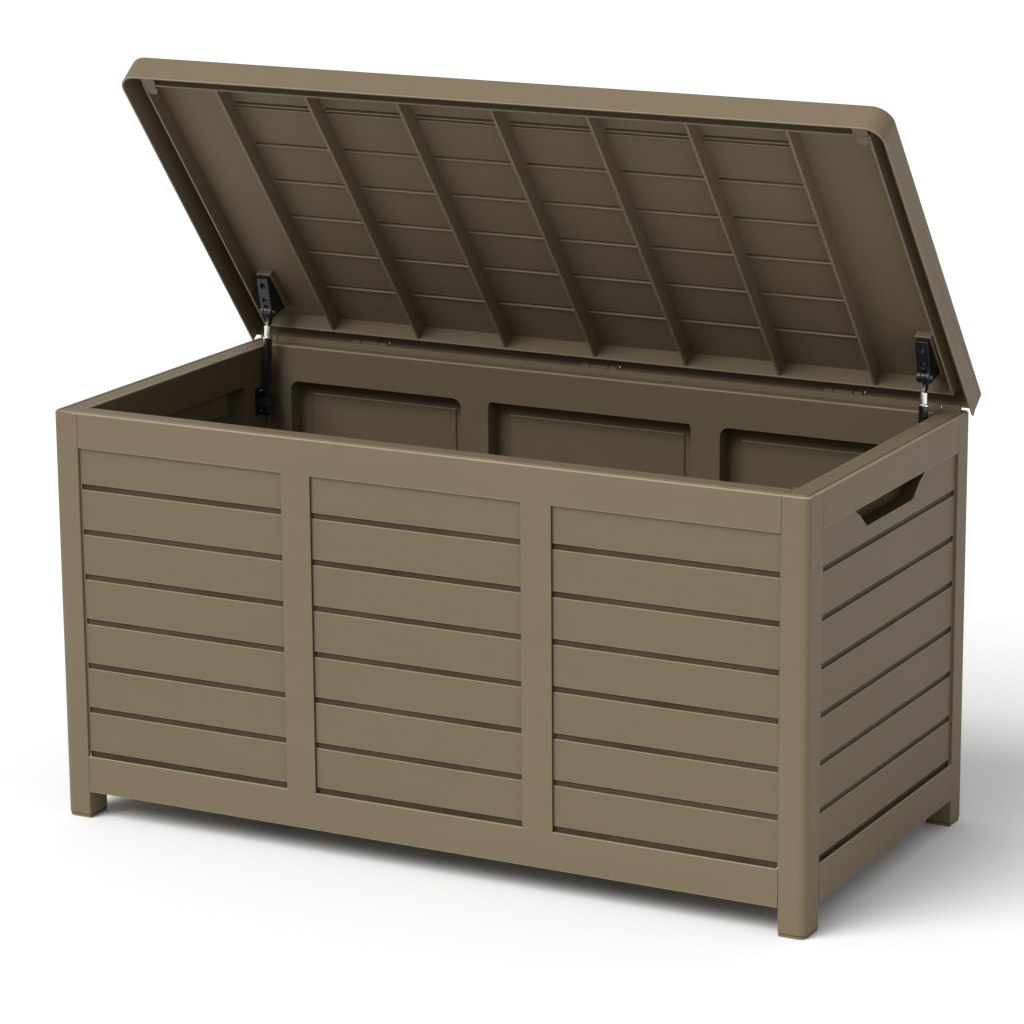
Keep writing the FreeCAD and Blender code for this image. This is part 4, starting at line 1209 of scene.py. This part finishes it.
# ---------------------------------------------------------------- stage
def studio_floor(scene, view):
    mesh = bpy.data.meshes.new("studio_floor")
    half = view.floor_size / 2
    mesh.from_pydata([(-half, -half, 0), (half, -half, 0), (half, half, 0), (-half, half, 0)],
                     [], [(0, 1, 2, 3)])
    ground = bpy.data.objects.new("studio_floor", mesh)
    scene.collection.objects.link(ground)
    s = Shader("studio_floor")
    cloud = s.noise(0.7, 3.0)
    mesh.materials.append(s.finish(
        Base_Color=s.scale(rgba(scene.bench_colours.floor), 0.99 + 0.02 * cloud),
        Roughness=0.75 + 0.1 * cloud))


def studio_light(scene, view):
    world = bpy.data.worlds.new("studio")
    scene.world = world
    world.use_nodes = True
    background = world.node_tree.nodes["Background"]
    background.inputs["Color"].default_value = (1.0, 1.0, 1.0, 1.0)
    background.inputs["Strength"].default_value = view.world
    for name, strength, angle, azimuth, height in (
            ("key", view.key, view.key_softness, view.key_azimuth, view.key_height),
            ("fill", view.fill, view.key_softness, view.fill_azimuth, view.fill_height)):
        light = bpy.data.lights.new(name, "SUN")
        light.energy, light.angle = strength, angle
        lamp = bpy.data.objects.new(name, light)
        toward = Vector((math.sin(azimuth) * math.cos(height), -math.cos(azimuth) * math.cos(height),
                         math.sin(height)))
        lamp.rotation_euler = toward.to_track_quat("Z", "Y").to_euler()
        lamp.location = toward * 4
        scene.collection.objects.link(lamp)
    scene.view_settings.view_transform = "Standard"


def place_camera(scene, view):
    """The camera stands back from a point in the middle of the view, level but for its roll."""
    turn, tilt, roll = view.azimuth, view.elevation, view.roll
    back = Vector((math.sin(turn) * math.cos(tilt), -math.cos(turn) * math.cos(tilt),
                   math.sin(tilt)))
    right = Vector((math.cos(turn), math.sin(turn), 0))
    up = back.cross(right)
    tilted_right = right * math.cos(roll) + up * math.sin(roll)
    tilted_up = up * math.cos(roll) - right * math.sin(roll)
    target = right * view.target_side + Z * view.target_height
    data = bpy.data.cameras.new("view")
    data.lens, data.sensor_width = view.lens, 36.0
    data.clip_end = 200.0
    camera = bpy.data.objects.new("view", data)
    turned_axes = Matrix((tilted_right, tilted_up, back)).transposed()
    camera.matrix_world = Matrix.Translation(target + back * view.distance) @ turned_axes.to_4x4()
    scene.collection.objects.link(camera)
    scene.camera = camera


# ---------------------------------------------------------------- panel
class BENCH_PT_build(bpy.types.Panel):
    """Lists the bench's pieces, each with a button that builds it"""
    bl_idname = "BENCH_PT_build"
    bl_label = "Storage bench"
    bl_space_type = "VIEW_3D"
    bl_region_type = "UI"
    bl_category = "Bench"

    def draw(self, context):
        for operator in OPERATORS:
            self.layout.operator(operator.bl_idname)


GROUPS = {
    "bench_walls": BenchWallSizes, "bench_pockets": BenchPocketSizes, "bench_lid": BenchLidSizes,
    "bench_floor": BenchFloorSizes, "bench_stays": BenchStaySizes, "bench_view": BenchView,
    "bench_colours": BenchColours,
}
OPERATORS = (BENCH_OT_posts, BENCH_OT_walls, BENCH_OT_floor, BENCH_OT_lid, BENCH_OT_hinges,
             BENCH_OT_stays, BENCH_OT_stage)


def register():
    for made in (*GROUPS.values(), *OPERATORS, BENCH_PT_build):
        bpy.utils.register_class(made)
    for name, group in GROUPS.items():
        setattr(bpy.types.Scene, name, bpy.props.PointerProperty(type=group))


def unregister():
    for name in GROUPS:
        delattr(bpy.types.Scene, name)
    for made in (BENCH_PT_build, *reversed(OPERATORS), *reversed(GROUPS.values())):
        bpy.utils.unregister_class(made)


def main():
    register()
    bpy.ops.bench.posts()
    bpy.ops.bench.walls()
    bpy.ops.bench.floor()
    bpy.ops.bench.lid()
    bpy.ops.bench.hinges()
    bpy.ops.bench.stays()
    bpy.ops.bench.stage()


if __name__ == "__main__":
    main()
